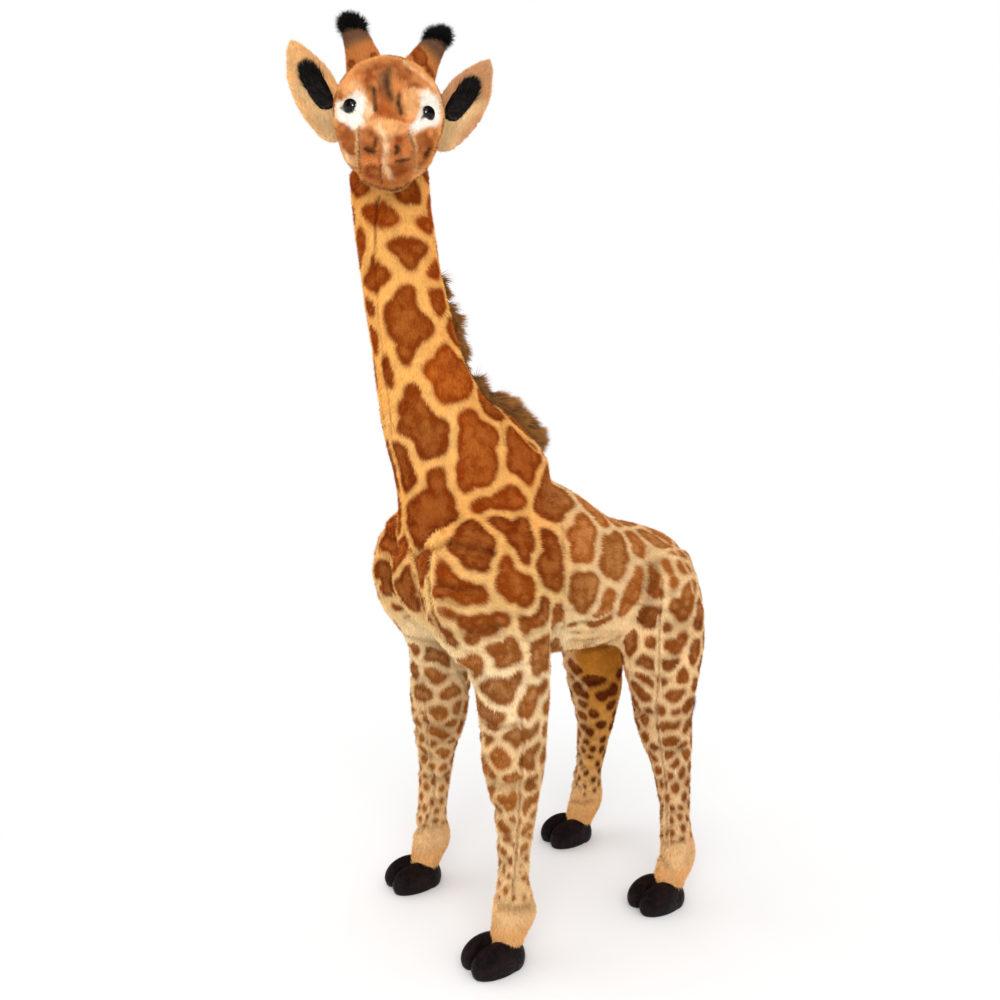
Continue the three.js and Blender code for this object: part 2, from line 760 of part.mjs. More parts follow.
// The place of an ear's frame in the head: on the side of the skull, its root standing up
function earMatrix(head, side) {
  const target = new THREE.Vector3(side * skullWidth / 2, earRootBack, earRootRise);
  const { point } = headSurface(head, target);
  point.x += side * earRootProud;
  const turn = new THREE.Euler(THREE.MathUtils.degToRad(-earSweep), 0, side * THREE.MathUtils.degToRad(-earToe));
  return new THREE.Matrix4().compose(point, new THREE.Quaternion().setFromEuler(turn), new THREE.Vector3(1, 1, 1));
}

// The room that the neck needs under the head while the head nods either way
function neckRoom() {
  const nod = THREE.MathUtils.degToRad(headNodRange + headNodSpare);
  const radius = neckBallRadius + turnGap;
  const rimAngle = Math.atan2(neckRimDrop, neckBallRadius) - nod;
  const corner = Math.hypot(radius, neckRimDrop);
  const top = -corner * Math.sin(rimAngle);
  const depth = 3 * neckBallRadius;
  const room = lathed([[0, -depth], [(radius + depth * Math.sin(nod)) / Math.cos(nod), -depth],
    [corner * Math.cos(rimAngle), top], [0, top]], roomPoints);
  const axis = neckAxis.clone().applyQuaternion(headQuaternion().invert());
  return placed(room, new THREE.Vector3(), axis);
}

function buildFrame() {
  addPart(giraffe, 'back_and_neck_rod', backRodForm(), 'steel');
  const bores = [backRodForm(rodGap)];
  for (const pairName of ['front', 'hind']) {
    for (const [sideName, side] of sides) {
      addPart(giraffe, `${pairName}_leg_rod_${sideName}`, legRodForm(pairName, side), 'steel');
      bores.push(legRodForm(pairName, side, rodGap));
    }
  }
  return bores;
}

function buildTrunkAndNeck(bores) {
  const trunk = trunkForm();
  const neck = neckForm();
  const rim = neckTop.clone().addScaledVector(neckAxis, -neckRimDrop);
  const trunkTools = [...bores, ballAt(tailRoot, tailRootRadius + turnGap, jointDetail)];
  addPart(giraffe, 'trunk', cut(trunk, trunkTools), 'plush');
  const ballRoom = ballAt(neckTop, neckBallRadius + ballGap, ballDetail);
  const neckTools = [grown(trunk, seamGap), ...bores, ballRoom, slabBeyond(rim, neckAxis)];
  addPart(giraffe, 'neck', mainPiece(cut(neck, neckTools)), 'plush');
  const ball = cut(ballAt(neckTop, neckBallRadius, ballDetail), [backRodForm(boreGap)]);
  addPart(giraffe, 'neck_ball', ball, 'stuffing');
  const around = [grown(trunk, seamGap), grown(neck, seamGap)];
  addPart(giraffe, 'mane', mainPiece(cut(maneForm(), around)), 'maneFur');
  return around;
}

function buildLegs(bores, around) {
  const floor = slabBelow(soleThickness + discThickness + seamGap);
  for (const pairName of ['front', 'hind']) {
    for (const [sideName, side] of sides) {
      const leg = legForm(pairName, side);
      const disc = discForm(pairName, side);
      const hoof = cut(hoofForm(pairName, side), [grown(leg, seamGap), grown(disc, seamGap), ...bores]);
      addPart(giraffe, `${pairName}_leg_${sideName}`, mainPiece(cut(leg, [...around, ...bores, floor])), 'legPlush');
      addPart(giraffe, `${pairName}_hoof_${sideName}`, mainPiece(hoof), 'hoofVelvet');
      addPart(giraffe, `${pairName}_foot_disc_${sideName}`, disc, 'board');
    }
  }
}

function buildTail() {
  const tail = tailForm();
  addPart(giraffe, 'tail', tail, 'legPlush');
  addPart(giraffe, 'tail_tuft', mainPiece(cut(tailTuftForm(), [grown(tail, seamGap)])), 'tuftFur');
}

function buildEye(skull, sideName, side) {
  const target = new THREE.Vector3(side * eyeSpread, -eyeAhead, eyeRise);
  const { point, normal } = headSurface(skull, target);
  const eye = placed(eyeForm(), point, normal);
  addPart(headGroup, `eye_${sideName}`, eye, 'eyePlastic');
  addPart(headGroup, `eye_washer_${sideName}`, placed(eyeWasherForm(), point, normal), 'washerPlastic');
  return [grown(eye, seamGap), placed(eyePocket(), point, normal)];
}

function buildEar(skull, sideName, side) {
  const matrix = earMatrix(skull, side);
  const turned = (geometry) => (side > 0 ? closed(geometry) : mirrored(geometry)).applyMatrix4(matrix);
  const inFrame = grown(skull, flapGap).applyMatrix4(matrix.clone().invert());
  const facing = side > 0 ? inFrame : mirrored(inFrame);
  const flaps = [-earFlapRange, 0, earFlapRange].map((angle) => (
    facing.clone().rotateZ(THREE.MathUtils.degToRad(angle))));
  const ear = earForm(flaps);
  addPart(headGroup, `ear_${sideName}`, turned(ear), 'earPlush');
  const lining = mainPiece(cut(liningForm(flaps), [grown(ear, seamGap)]));
  addPart(headGroup, `ear_lining_${sideName}`, turned(lining), 'satin');
  return [turned(grown(earRootForm(), turnGap))];
}

function buildHorn(skull, sideName, side) {
  const horn = hornForm(side);
  addPart(headGroup, `horn_${sideName}`, mainPiece(cut(horn, [grown(skull, seamGap)])), 'hornPlush');
  const tuft = cut(hornTuftForm(side), [grown(horn, seamGap)]);
  addPart(headGroup, `horn_tuft_${sideName}`, mainPiece(tuft), 'tuftFur');
}

function buildHead() {
  const skull = headForm();
  const room = [ballAt(new THREE.Vector3(), neckBallRadius + ballGap, ballDetail), neckRoom()];
  const pockets = [];
  for (const [sideName, side] of sides) {
    pockets.push(...buildEye(skull, sideName, side), ...buildEar(skull, sideName, side));
    buildHorn(skull, sideName, side);
  }
  addPart(headGroup, 'head', mainPiece(cut(skull, [...room, ...pockets])), 'plush');
  addPart(headGroup, 'muzzle', mainPiece(cut(muzzleForm(), [grown(skull, seamGap), ...room])), 'muzzlePlush');
  headGroup.position.copy(neckTop);
  headGroup.quaternion.copy(headQuaternion());
  giraffe.add(headGroup);
}

const rodBores = buildFrame();
const bodyTools = buildTrunkAndNeck(rodBores);
buildLegs(rodBores, bodyTools);
buildTail();
buildHead();

// The origin is the middle of the box on the floor
giraffe.updateMatrixWorld(true);
const outer = new THREE.Box3().setFromObject(giraffe, true);
const middle = outer.getCenter(new THREE.Vector3());
giraffe.position.set(-middle.x, -middle.y, -outer.min.z);
giraffe.updateMatrixWorld(true);

export default giraffe;
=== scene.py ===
import json
import math

import bmesh
import bpy
import numpy as np
from mathutils import Matrix, Vector, kdtree, noise
from mathutils.bvhtree import BVHTree

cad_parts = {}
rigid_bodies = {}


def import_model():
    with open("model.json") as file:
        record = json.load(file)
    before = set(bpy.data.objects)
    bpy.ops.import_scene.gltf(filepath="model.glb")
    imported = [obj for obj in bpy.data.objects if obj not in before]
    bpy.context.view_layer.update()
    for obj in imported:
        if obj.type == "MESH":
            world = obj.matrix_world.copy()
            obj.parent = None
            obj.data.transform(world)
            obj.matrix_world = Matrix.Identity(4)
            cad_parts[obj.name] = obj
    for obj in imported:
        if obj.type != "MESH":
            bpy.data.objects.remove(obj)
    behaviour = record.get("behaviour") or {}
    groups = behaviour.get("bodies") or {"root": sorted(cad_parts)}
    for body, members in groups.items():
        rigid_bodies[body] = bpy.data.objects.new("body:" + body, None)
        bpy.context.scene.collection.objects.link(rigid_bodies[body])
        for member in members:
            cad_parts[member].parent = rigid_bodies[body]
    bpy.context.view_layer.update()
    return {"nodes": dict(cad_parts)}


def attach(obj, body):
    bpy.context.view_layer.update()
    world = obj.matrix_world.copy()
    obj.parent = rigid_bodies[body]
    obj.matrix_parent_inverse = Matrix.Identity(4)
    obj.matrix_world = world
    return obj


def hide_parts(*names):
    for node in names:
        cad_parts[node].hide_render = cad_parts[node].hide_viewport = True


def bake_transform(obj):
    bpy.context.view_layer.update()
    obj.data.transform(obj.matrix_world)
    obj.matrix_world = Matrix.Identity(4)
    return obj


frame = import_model()
scene = bpy.context.scene
rng = np.random.default_rng(7)
# noise_vector takes its offset from the clock unless it is seeded
noise.seed_set(1795886899)

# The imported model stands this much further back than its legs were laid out
packedShift = 0.0438173


def linear(r, g, b):
    values = np.array([r, g, b], float) / 255
    return np.where(values <= 0.04045, values / 12.92, ((values + 0.055) / 1.055) ** 2.4)


def linearTuple(r, g, b):
    return tuple(float(v) for v in linear(r, g, b))


# Node helpers: an input is a socket to link, a value to set, or None to leave
def addNode(tree, kind, inputs=None, **settings):
    node = tree.nodes.new(kind)
    for name, value in settings.items():
        setattr(node, name, value)
    for key, value in (inputs or {}).items():
        if isinstance(value, bpy.types.NodeSocket):
            tree.links.new(value, node.inputs[key])
        elif value is not None:
            node.inputs[key].default_value = value
    return node


def mathNode(tree, kind, a, b=None):
    return addNode(tree, "ShaderNodeMath", {0: a, 1: b}, operation=kind).outputs[0]


def vectorNode(tree, kind, a, b=None, scale=None):
    return addNode(tree, "ShaderNodeVectorMath", {0: a, 1: b, "Scale": scale}, operation=kind).outputs[0]


def rangeNode(tree, value, low, high, outLow=0, outHigh=1, kind="SMOOTHSTEP"):
    inputs = {"Value": value, "From Min": low, "From Max": high, "To Min": outLow, "To Max": outHigh}
    return addNode(tree, "ShaderNodeMapRange", inputs, interpolation_type=kind).outputs["Result"]


def objectPlace(tree):
    return addNode(tree, "ShaderNodeTexCoord").outputs["Object"]


def noiseNode(tree, place, scale, detail=2.0, rough=0.5):
    inputs = {"Vector": place, "Scale": scale, "Detail": detail, "Roughness": rough}
    return addNode(tree, "ShaderNodeTexNoise", inputs).outputs["Fac"]


def mixTints(tree, share, a, b, kind="MIX"):
    a, b = ((*tint, 1) if isinstance(tint, tuple) else tint for tint in (a, b))
    return addNode(tree, "ShaderNodeMix", {0: share, 6: a, 7: b}, data_type="RGBA", blend_type=kind).outputs[2]


def attributeNode(tree, name, out="Fac"):
    return addNode(tree, "ShaderNodeAttribute", attribute_name=name).outputs[out]


def newGroup(name, kind, ins, outs):
    tree = bpy.data.node_groups.new(name, kind)
    for label, socketKind, *start in ins:
        socket = tree.interface.new_socket(label, in_out="INPUT", socket_type=socketKind)
        if start:
            socket.default_value = start[0]
    for label, socketKind in outs:
        tree.interface.new_socket(label, in_out="OUTPUT", socket_type=socketKind)
    return tree, tree.nodes.new("NodeGroupInput").outputs, tree.nodes.new("NodeGroupOutput").inputs


def newMaterial(name, rough, sheen=0.0, specular=0.3, metal=0.0):
    material = bpy.data.materials.new(name)
    material.use_nodes = True
    shader = material.node_tree.nodes["Principled BSDF"]
    for key, value in (("Roughness", rough), ("Specular IOR Level", specular), ("Sheen Weight", sheen),
                       ("Metallic", metal)):
        shader.inputs[key].default_value = value
    return material, material.node_tree, shader


def bumped(tree, shader, height, distance, strength=0.6):
    bump = addNode(tree, "ShaderNodeBump", {"Height": height, "Distance": distance, "Strength": strength})
    tree.links.new(bump.outputs[0], shader.inputs["Normal"])


# Camera, light and floor
view = {
    "lens": 36.0,
    "azimuth": 59.0,
    "pitch": 8.53,
    "right": -0.081,
    "back": 1.573,
    "height": 0.901,
}


def cameraAxes():
    a, p = math.radians(view["azimuth"]), math.radians(view["pitch"])
    right = np.array([math.cos(a), math.sin(a), 0])
    level = np.array([-math.sin(a), math.cos(a), 0])
    up = np.array([0, 0, 1.0])
    ahead = level * math.cos(p) - up * math.sin(p)
    over = level * math.sin(p) + up * math.cos(p)
    place = view["right"] * right - view["back"] * level + view["height"] * up
    return place + np.array([0, packedShift, 0]), right, over, ahead


eyePlace, eyeRight, eyeOver, eyeAhead = cameraAxes()


def addCamera():
    data = bpy.data.cameras.new("photoCamera")
    data.lens, data.sensor_width = view["lens"], 36.0
    camera = bpy.data.objects.new("photoCamera", data)
    scene.collection.objects.link(camera)
    turn = Matrix([[eyeRight[i], eyeOver[i], -eyeAhead[i]] for i in range(3)])
    camera.matrix_world = Matrix.Translation(eyePlace) @ turn.to_4x4()
    scene.camera = camera


def toPixels(points):
    q = np.asarray(points, float) - eyePlace
    z = q @ eyeAhead
    return np.stack([500 + 1000 * (q @ eyeRight) / z, 500 - 1000 * (q @ eyeOver) / z], -1)


def rayThrough(u, v):
    return Vector(eyeAhead * 1000 + eyeRight * (u - 500) - eyeOver * (v - 500)).normalized()


studio = {
    "worldStrength": 0.9,
    "mirroredStrength": 0.12,
    "keyPower": 50.0,
    "keySize": 2.6,
    "fillPower": 15.0,
    "sparkPower": 18.0,
    "sparkSize": 0.32,
    "sparkPlace": (1.22, -0.75, 1.32),
    "floorTint": (0.97, 0.97, 0.97, 1),
    "floorSize": 60,
    "floorFade": (0.3, 1.0),
    "keyPlace": (2.6, -1.4, 2.6),
    "fillPlace": (-1.6, -2.4, 1.4),
    "aim": (0, 0, 0.7),
    "headAim": (0, -0.2, 1.2),
}


def addLamp(name, place, aim, power, size):
    data = bpy.data.lights.new(name, "AREA")
    data.shape, data.size, data.energy = "SQUARE", size, power
    lamp = bpy.data.objects.new(name, data)
    scene.collection.objects.link(lamp)
    lamp.location = place
    lamp.rotation_euler = (Vector(aim) - Vector(place)).to_track_quat("-Z", "Y").to_euler()
    return lamp


def addStudio():
    world = bpy.data.worlds.new("softRoom")
    scene.world = world
    world.use_nodes = True
    tree = world.node_tree
    rays = addNode(tree, "ShaderNodeLightPath").outputs
    level = studio["worldStrength"]
    for ray, value in (("Is Glossy Ray", studio["mirroredStrength"]), ("Is Camera Ray", 1.0)):
        level = addNode(tree, "ShaderNodeMix", {"Factor": rays[ray], "A": level, "B": value}).outputs["Result"]
    background = tree.nodes["Background"]
    tree.links.new(level, background.inputs["Strength"])
    background.inputs["Color"].default_value = (1, 1, 1, 1)
    addLamp("keyLamp", studio["keyPlace"], studio["aim"], studio["keyPower"], studio["keySize"])
    addLamp("fillLamp", studio["fillPlace"], studio["aim"], studio["fillPower"], studio["keySize"])
    # the catchlight of the eyes; it lights nothing else
    spark = addLamp("sparkLamp", studio["sparkPlace"], studio["headAim"], studio["sparkPower"],
                    studio["sparkSize"])
    spark.visible_diffuse = spark.visible_camera = False
    bpy.ops.mesh.primitive_plane_add(size=studio["floorSize"], location=(0, 0, 0))
    floor = bpy.context.object
    floor.name = "studioFloor"
    material, tree, shader = newMaterial("paleFloor", 0.9, 0.0, 0.0)
    shader.inputs["Base Color"].default_value = studio["floorTint"]
    # far floor fades into the white room for the camera, and keeps the shadow near the hooves
    reach = addNode(tree, "ShaderNodeVectorMath", {0: objectPlace(tree)}, operation="LENGTH").outputs["Value"]
    fade = rangeNode(tree, reach, *studio["floorFade"], kind="LINEAR")
    seen = mathNode(tree, "MULTIPLY", fade, addNode(tree, "ShaderNodeLightPath").outputs["Is Camera Ray"])
    white = addNode(tree, "ShaderNodeEmission").outputs[0]
    mix = addNode(tree, "ShaderNodeMixShader", {0: seen, 1: shader.outputs[0], 2: white})
    tree.links.new(mix.outputs[0], tree.nodes["Material Output"].inputs["Surface"])
    floor.data.materials.append(material)
    scene.view_settings.view_transform = "Standard"


addCamera()
addStudio()
print("camera, lamps and floor ready")

# Stuffed forms: rings along a spine, widths and depths from tables of shares


def curveThrough(points, samples=60):
    points = np.array(points, float)
    first, last = 2 * points[0] - points[1], 2 * points[-1] - points[-2]
    around = np.vstack([first, points, last])
    out = []
    for i in range(len(points) - 1):
        p0, p1, p2, p3 = around[i:i + 4]
        d0, d1, d2 = (max(np.linalg.norm(b - a), 1e-9) ** 0.5 for a, b in ((p0, p1), (p1, p2), (p2, p3)))
        t1 = ((p1 - p0) / d0 - (p2 - p0) / (d0 + d1) + (p2 - p1) / d1) * d1
        t2 = ((p2 - p1) / d1 - (p3 - p1) / (d1 + d2) + (p3 - p2) / d2) * d1
        t = np.linspace(0, 1, samples, endpoint=False)[:, None]
        out.append(p1 + t1 * t + (3 * (p2 - p1) - 2 * t1 - t2) * t ** 2 + (2 * (p1 - p2) + t1 + t2) * t ** 3)
    return np.vstack([*out, points[-1:]])


def alongCurve(curve, shares):
    steps = np.linalg.norm(np.diff(curve, axis=0), axis=1)
    length = np.concatenate([[0], np.cumsum(steps)]) / steps.sum()
    place = np.stack([np.interp(shares, length, curve[:, k]) for k in range(3)], -1)
    ahead = np.stack([np.interp(np.clip(shares + 0.004, 0, 1), length, curve[:, k]) for k in range(3)], -1)
    behind = np.stack([np.interp(np.clip(shares - 0.004, 0, 1), length, curve[:, k]) for k in range(3)], -1)
    tangent = ahead - behind
    return place, tangent / np.linalg.norm(tangent, axis=1)[:, None]


def smoothRows(rows, at):
    rows = np.array(rows, float)
    x, y = rows[:, 0], rows[:, 1:]
    slope = np.empty_like(y)
    slope[1:-1] = (y[2:] - y[:-2]) / (x[2:] - x[:-2])[:, None]
    slope[0], slope[-1] = (y[1] - y[0]) / (x[1] - x[0]), (y[-1] - y[-2]) / (x[-1] - x[-2])
    i = np.clip(np.searchsorted(x, at, side="right") - 1, 0, len(x) - 2)
    h = (x[i + 1] - x[i])[:, None]
    t = ((at - x[i]) / h[:, 0])[:, None]
    return ((2 * t ** 3 - 3 * t ** 2 + 1) * y[i] + (t ** 3 - 2 * t ** 2 + t) * h * slope[i]
            + (3 * t ** 2 - 2 * t ** 3) * y[i + 1] + (t ** 3 - t ** 2) * h * slope[i + 1])


def ringFaces(n, m):
    # n rings of m points, then the two poles
    faces = [(i * m + j, i * m + (j + 1) % m, (i + 1) * m + (j + 1) % m, (i + 1) * m + j)
             for i in range(n - 1) for j in range(m)]
    faces += [(n * m, (j + 1) % m, j) for j in range(m)]
    faces += [(n * m + 1, (n - 1) * m + j, (n - 1) * m + (j + 1) % m) for j in range(m)]
    return faces


def stuffed(points, rows, width, depth, endShare, rings=90, around=48, side=(1, 0, 0)):
    turn = np.linspace(0, math.pi / 2, 9)[1:]
    low = endShare * (1 - np.cos(turn))
    middle = np.linspace(endShare, 1 - endShare, rings)[1:-1]
    along = np.concatenate([low, middle, 1 - low[::-1]])
    scale = np.concatenate([np.sin(turn), np.ones(len(middle)), np.sin(turn)[::-1]])
    place, tangent = alongCurve(curveThrough(points), along)
    side = np.array(side, float)
    forward = np.cross(side, tangent)
    forward /= np.linalg.norm(forward, axis=1)[:, None]
    section = smoothRows(rows, along)
    angle = np.linspace(0, 2 * math.pi, around, endpoint=False)
    across, ahead = np.sin(angle)[None, :, None], np.cos(angle)[None, :, None]
    wide = (section[:, 0] * width / 2 * scale)[:, None, None] * across * side
    deep = np.where(ahead > 0, section[:, 1][:, None, None], section[:, 2][:, None, None])
    deep = deep * ahead * (depth / 2 * scale)[:, None, None] * forward[:, None, :]
    ring = place[:, None, :] + wide + deep
    poles, _ = alongCurve(curveThrough(points), np.array([0.0, 1.0]))
    verts = np.vstack([ring.reshape(-1, 3), poles])
    return verts, ringFaces(len(along), around)


def meshOf(name, parts):
    verts, faces, start = [], [], 0
    for v, f in parts:
        verts.append(np.asarray(v, float))
        faces += [tuple(i + start for i in face) for face in f]
        start += len(v)
    data = bpy.data.meshes.new(name)
    data.from_pydata(np.vstack(verts).tolist(), [], faces)
    work = bmesh.new()
    work.from_mesh(data)
    bmesh.ops.remove_doubles(work, verts=work.verts, dist=1e-6)
    bmesh.ops.recalc_face_normals(work, faces=work.faces)
    work.to_mesh(data)
    work.free()
    return data


def objectOf(name, data):
    made = bpy.data.objects.new(name, data)
    scene.collection.objects.link(made)
    return made


def settled(made):
    bpy.context.view_layer.update()
    data = bpy.data.meshes.new_from_object(made.evaluated_get(bpy.context.evaluated_depsgraph_get()))
    made.modifiers.clear()
    made.data = data
    return made


def oneSkin(name, parts, voxel):
    made = objectOf(name, meshOf(name, parts))
    remesh = made.modifiers.new("skin", "REMESH")
    remesh.mode, remesh.voxel_size = "VOXEL", voxel
    settled(made)
    work = bmesh.new()
    work.from_mesh(made.data)
    groups, seen = [], set()
    for vert in work.verts:
        if vert in seen:
            continue
        group, todo = [], [vert]
        seen.add(vert)
        while todo:
            v = todo.pop()
            group.append(v)
            for e in v.link_edges:
                o = e.other_vert(v)
                if o not in seen:
                    seen.add(o)
                    todo.append(o)
        groups.append(group)
    groups.sort(key=len)
    for group in groups[:-1]:
        bmesh.ops.delete(work, geom=group, context="VERTS")
    bmesh.ops.recalc_face_normals(work, faces=work.faces)
    work.to_mesh(made.data)
    work.free()
    return made


def places(made):
    co = np.empty(len(made.data.vertices) * 3, np.float32)
    made.data.vertices.foreach_get("co", co)
    return co.reshape(-1, 3).astype(float)


def putPlaces(made, co):
    made.data.vertices.foreach_set("co", co.astype(np.float32).ravel())
    made.data.update()


def vertexNormals(made):
    out = np.empty(len(made.data.vertices) * 3, np.float32)
    made.data.vertex_normals.foreach_get("vector", out)
    return out.reshape(-1, 3).astype(float)


def edgePairs(made):
    out = np.empty(len(made.data.edges) * 2, np.int64)
    made.data.edges.foreach_get("vertices", out)
    return out.reshape(-1, 2)


def relaxed(co, pairs, rounds, amount=0.5):
    count = np.bincount(pairs.ravel(), minlength=len(co))[:, None]
    for _ in range(rounds):
        total = np.zeros_like(co)
        for k in range(co.shape[1]):
            total[:, k] = np.bincount(pairs[:, 0], co[pairs[:, 1], k], len(co)) + np.bincount(
                pairs[:, 1], co[pairs[:, 0], k], len(co))
        co = co + amount * (total / count - co)
    return co


def setNumber(made, name, values):
    layer = made.data.attributes.get(name) or made.data.attributes.new(name, "FLOAT", "POINT")
    layer.data.foreach_set("value", np.asarray(values, np.float32))


def setTint(made, name, tints):
    layer = made.data.attributes.get(name) or made.data.attributes.new(name, "FLOAT_COLOR", "POINT")
    rgba = np.ones((len(tints), 4), np.float32)
    rgba[:, :3] = tints
    layer.data.foreach_set("color", rgba.ravel())


def noiseAt(points, scale, shift=(0, 0, 0)):
    return np.array([noise.noise(Vector(p) * scale + Vector(shift)) for p in points])


def nearTree(points):
    tree = kdtree.KDTree(len(points))
    for i, p in enumerate(points):
        tree.insert(p, i)
    tree.balance()
    return tree


def step(low, high, x):
    t = np.clip((x - low) / (high - low), 0, 1)
    return t * t * (3 - 2 * t)


sides = (("left", 1), ("right", -1))

# Body: trunk, neck and four legs, sewn into one skin
trunk = {
    "length": 0.524, "width": 0.236, "height": 0.288, "front": -0.270, "low": 0.462, "rise": 0.130, "end": 0.08,
    "spine": [[0, 0.96], [0.25, 0.84], [0.42, 0.78], [0.6, 0.58], [0.8, 0.37], [1, 0.06]],
    "rows": [[0, 0.55, 0.44, 0.44], [0.07, 0.62, 0.56, 0.56], [0.16, 0.78, 0.74, 0.74], [0.28, 0.92, 0.86, 0.9],
             [0.42, 1, 0.98, 0.99], [0.54, 1, 0.88, 0.92], [0.66, 0.97, 0.74, 0.8], [0.78, 0.88, 0.72, 0.7],
             [0.88, 0.76, 0.72, 0.62], [0.95, 0.62, 0.58, 0.54], [1, 0.48, 0.46, 0.46]],
}
neck = {
    "rise": 0.548, "reach": 0.210, "width": 0.190, "depth": 0.250, "rootHeight": 0.612, "rootReach": 0.066, "end": 0.03,
    "spine": [[0, 0], [0.2, 0.087], [0.39, 0.204], [0.61, 0.316], [0.73, 0.424], [0.81, 0.53], [0.87, 0.631],
              [0.92, 0.731], [0.955, 0.831], [0.98, 0.927], [1, 1]],
    "rows": [[0, 0.56, 1, 0.68], [0.11, 0.9, 1.16, 0.9], [0.23, 0.97, 1.1, 0.84], [0.36, 0.84, 0.73, 0.645],
             [0.47, 0.73, 0.57, 0.54], [0.57, 0.67, 0.5, 0.51], [0.66, 0.625, 0.472, 0.48], [0.76, 0.595, 0.446, 0.458],
             [0.85, 0.58, 0.436, 0.45], [0.94, 0.57, 0.436, 0.445], [1, 0.57, 0.436, 0.44]],
}
legs = {
    "base": 0.009, "bow": 0.025, "end": 0.03,
    "front": {
        "height": 0.668, "width": 0.108, "depth": 0.176, "foot": 0.134, "knee": 0.116, "reach": -0.143,
        "spine": [[0, 1, 1], [0.047, 1, 0.8], [0.108, 0.98, 0.45], [0.168, 0.9, 0.36], [0.229, 0.78, 0.25],
                  [0.32, 0.62, 0.05], [0.411, 0.15, 0], [0.502, 0, 0], [0.624, -0.5, 0.15], [0.745, -1.3, 0.76],
                  [0.836, -1.9, 1.25], [1, -2.5, 1.9]],
        "rows": [[0, 0.46, 0.28, 0.26], [0.05, 0.5, 0.3, 0.32], [0.085, 0.52, 0.32, 0.42], [0.11, 0.52, 0.315, 0.43],
                 [0.14, 0.48, 0.29, 0.34], [0.17, 0.46, 0.28, 0.29], [0.23, 0.47, 0.29, 0.295],
                 [0.29, 0.51, 0.32, 0.33], [0.35, 0.64, 0.4, 0.4],
                 [0.41, 0.79, 0.49, 0.5], [0.45, 0.86, 0.54, 0.56], [0.52, 0.91, 0.56, 0.63],
                 [0.58, 0.95, 0.57, 0.72], [0.63, 0.94, 0.58, 0.82], [0.69, 0.95, 0.69, 0.98], [0.76, 0.97, 0.99, 1.18],
                 [0.83, 0.97, 1.08, 1.28], [0.89, 0.93, 1.04, 1.22], [0.95, 0.82, 0.86, 1.02], [1, 0.62, 0.58, 0.72]],
    },
    "hind": {
        "height": 0.590, "width": 0.116, "depth": 0.184, "foot": 0.129, "knee": 0.095, "reach": 0.165,
        "spine": [[0, 1, 0.76], [0.053, 1, 0.4], [0.09, 1, 0.08], [0.122, 1, -0.12], [0.19, 0.85, -0.16],
                  [0.26, 0.65, -0.24], [0.33, 0.44, -0.28], [0.4, 0.18, -0.24], [0.467, 0, 0.04], [0.57, 0, 0.26],
                  [0.72, -0.04, 0.3], [1, -0.5, 0.2]],
        "rows": [[0, 0.42, 0.26, 0.25], [0.055, 0.45, 0.28, 0.3], [0.1, 0.47, 0.29, 0.41], [0.13, 0.46, 0.285, 0.41],
                 [0.16, 0.45, 0.28, 0.35], [0.2, 0.44, 0.275, 0.3], [0.26, 0.45, 0.28, 0.3], [0.33, 0.52, 0.335, 0.345],
                 [0.4, 0.62, 0.4, 0.4], [0.47, 0.77, 0.47, 0.52], [0.57, 0.88, 0.55, 0.6], [0.64, 0.92, 0.68, 0.7],
                 [0.72, 0.96, 0.82, 0.82], [0.79, 0.98, 0.88, 0.85], [0.86, 0.96, 0.86, 0.78], [0.93, 0.88, 0.74, 0.64],
                 [1, 0.68, 0.52, 0.46]],
    },
}
bodySkin = {
    "voxel": 0.008,
    "smoothing": 4,
    "deflate": 0.003,
    "pressure": 3.0,
    "frames": 14,
    "cap": 0.009,
    "quality": 4,
    "mass": 0.15,
    "stretch": 8,
    "shear": 4,
    "bend": 0.15,
    # a point this near its form goes back to it, away from the seams
    "formReach": 0.006,
    "seamShare": 0.02,
}


def packed(points):
    return [[x, y + packedShift, z] for x, y, z in points]


def trunkPoints():
    t = trunk
    return packed([[0, a * t["length"] + t["front"], t["low"] + r * t["rise"]] for a, r in t["spine"]])


def neckPoints():
    n = neck
    return packed([[0, -n["rootReach"] - a * n["reach"], n["rootHeight"] + r * n["rise"]] for a, r in n["spine"]])


def legPoints(pair, side):
    p = legs[pair]
    return packed([[side * (p["knee"] + out * (p["foot"] - p["knee"])), p["reach"] - bow * legs["bow"],
                    legs["base"] + up * (p["height"] - legs["base"])] for up, out, bow in p["spine"]])


def trunkForm():
    return stuffed(trunkPoints(), trunk["rows"], trunk["width"], trunk["height"], trunk["end"])


def neckForm():
    return stuffed(neckPoints(), neck["rows"], neck["width"], neck["depth"], neck["end"], rings=110)


def legForm(pair, side):
    p = legs[pair]
    return stuffed(legPoints(pair, side), p["rows"], p["width"], p["depth"], legs["end"], rings=120)


legNames = [(pair, sideName, side) for pair in ("front", "hind") for sideName, side in sides]
bodyForms = {"trunk": trunkForm(), "neck": neckForm()}
for pair, sideName, side in legNames:
    bodyForms[f"{pair}_leg_{sideName}"] = legForm(pair, side)


def nearestForm(points, forms):
    owner = np.repeat(np.arange(len(forms)), [len(verts) for verts, _ in forms.values()])
    tree = nearTree(np.vstack([verts for verts, _ in forms.values()]))
    return owner[[tree.find(p)[1] for p in points]]


def seamMask(labels, pairs):
    mixed = labels[pairs[:, 0]] != labels[pairs[:, 1]]
    mask = np.zeros(len(labels))
    mask[pairs[mixed].ravel()] = 1
    return mask


# Rings sewn round the legs: height, tilt ahead (metres up per metre ahead)
legRings = {"front": [(0.405, 0.0), (0.262, 0.08)], "hind": [(0.335, 0.06), (0.205, 0.0)]}


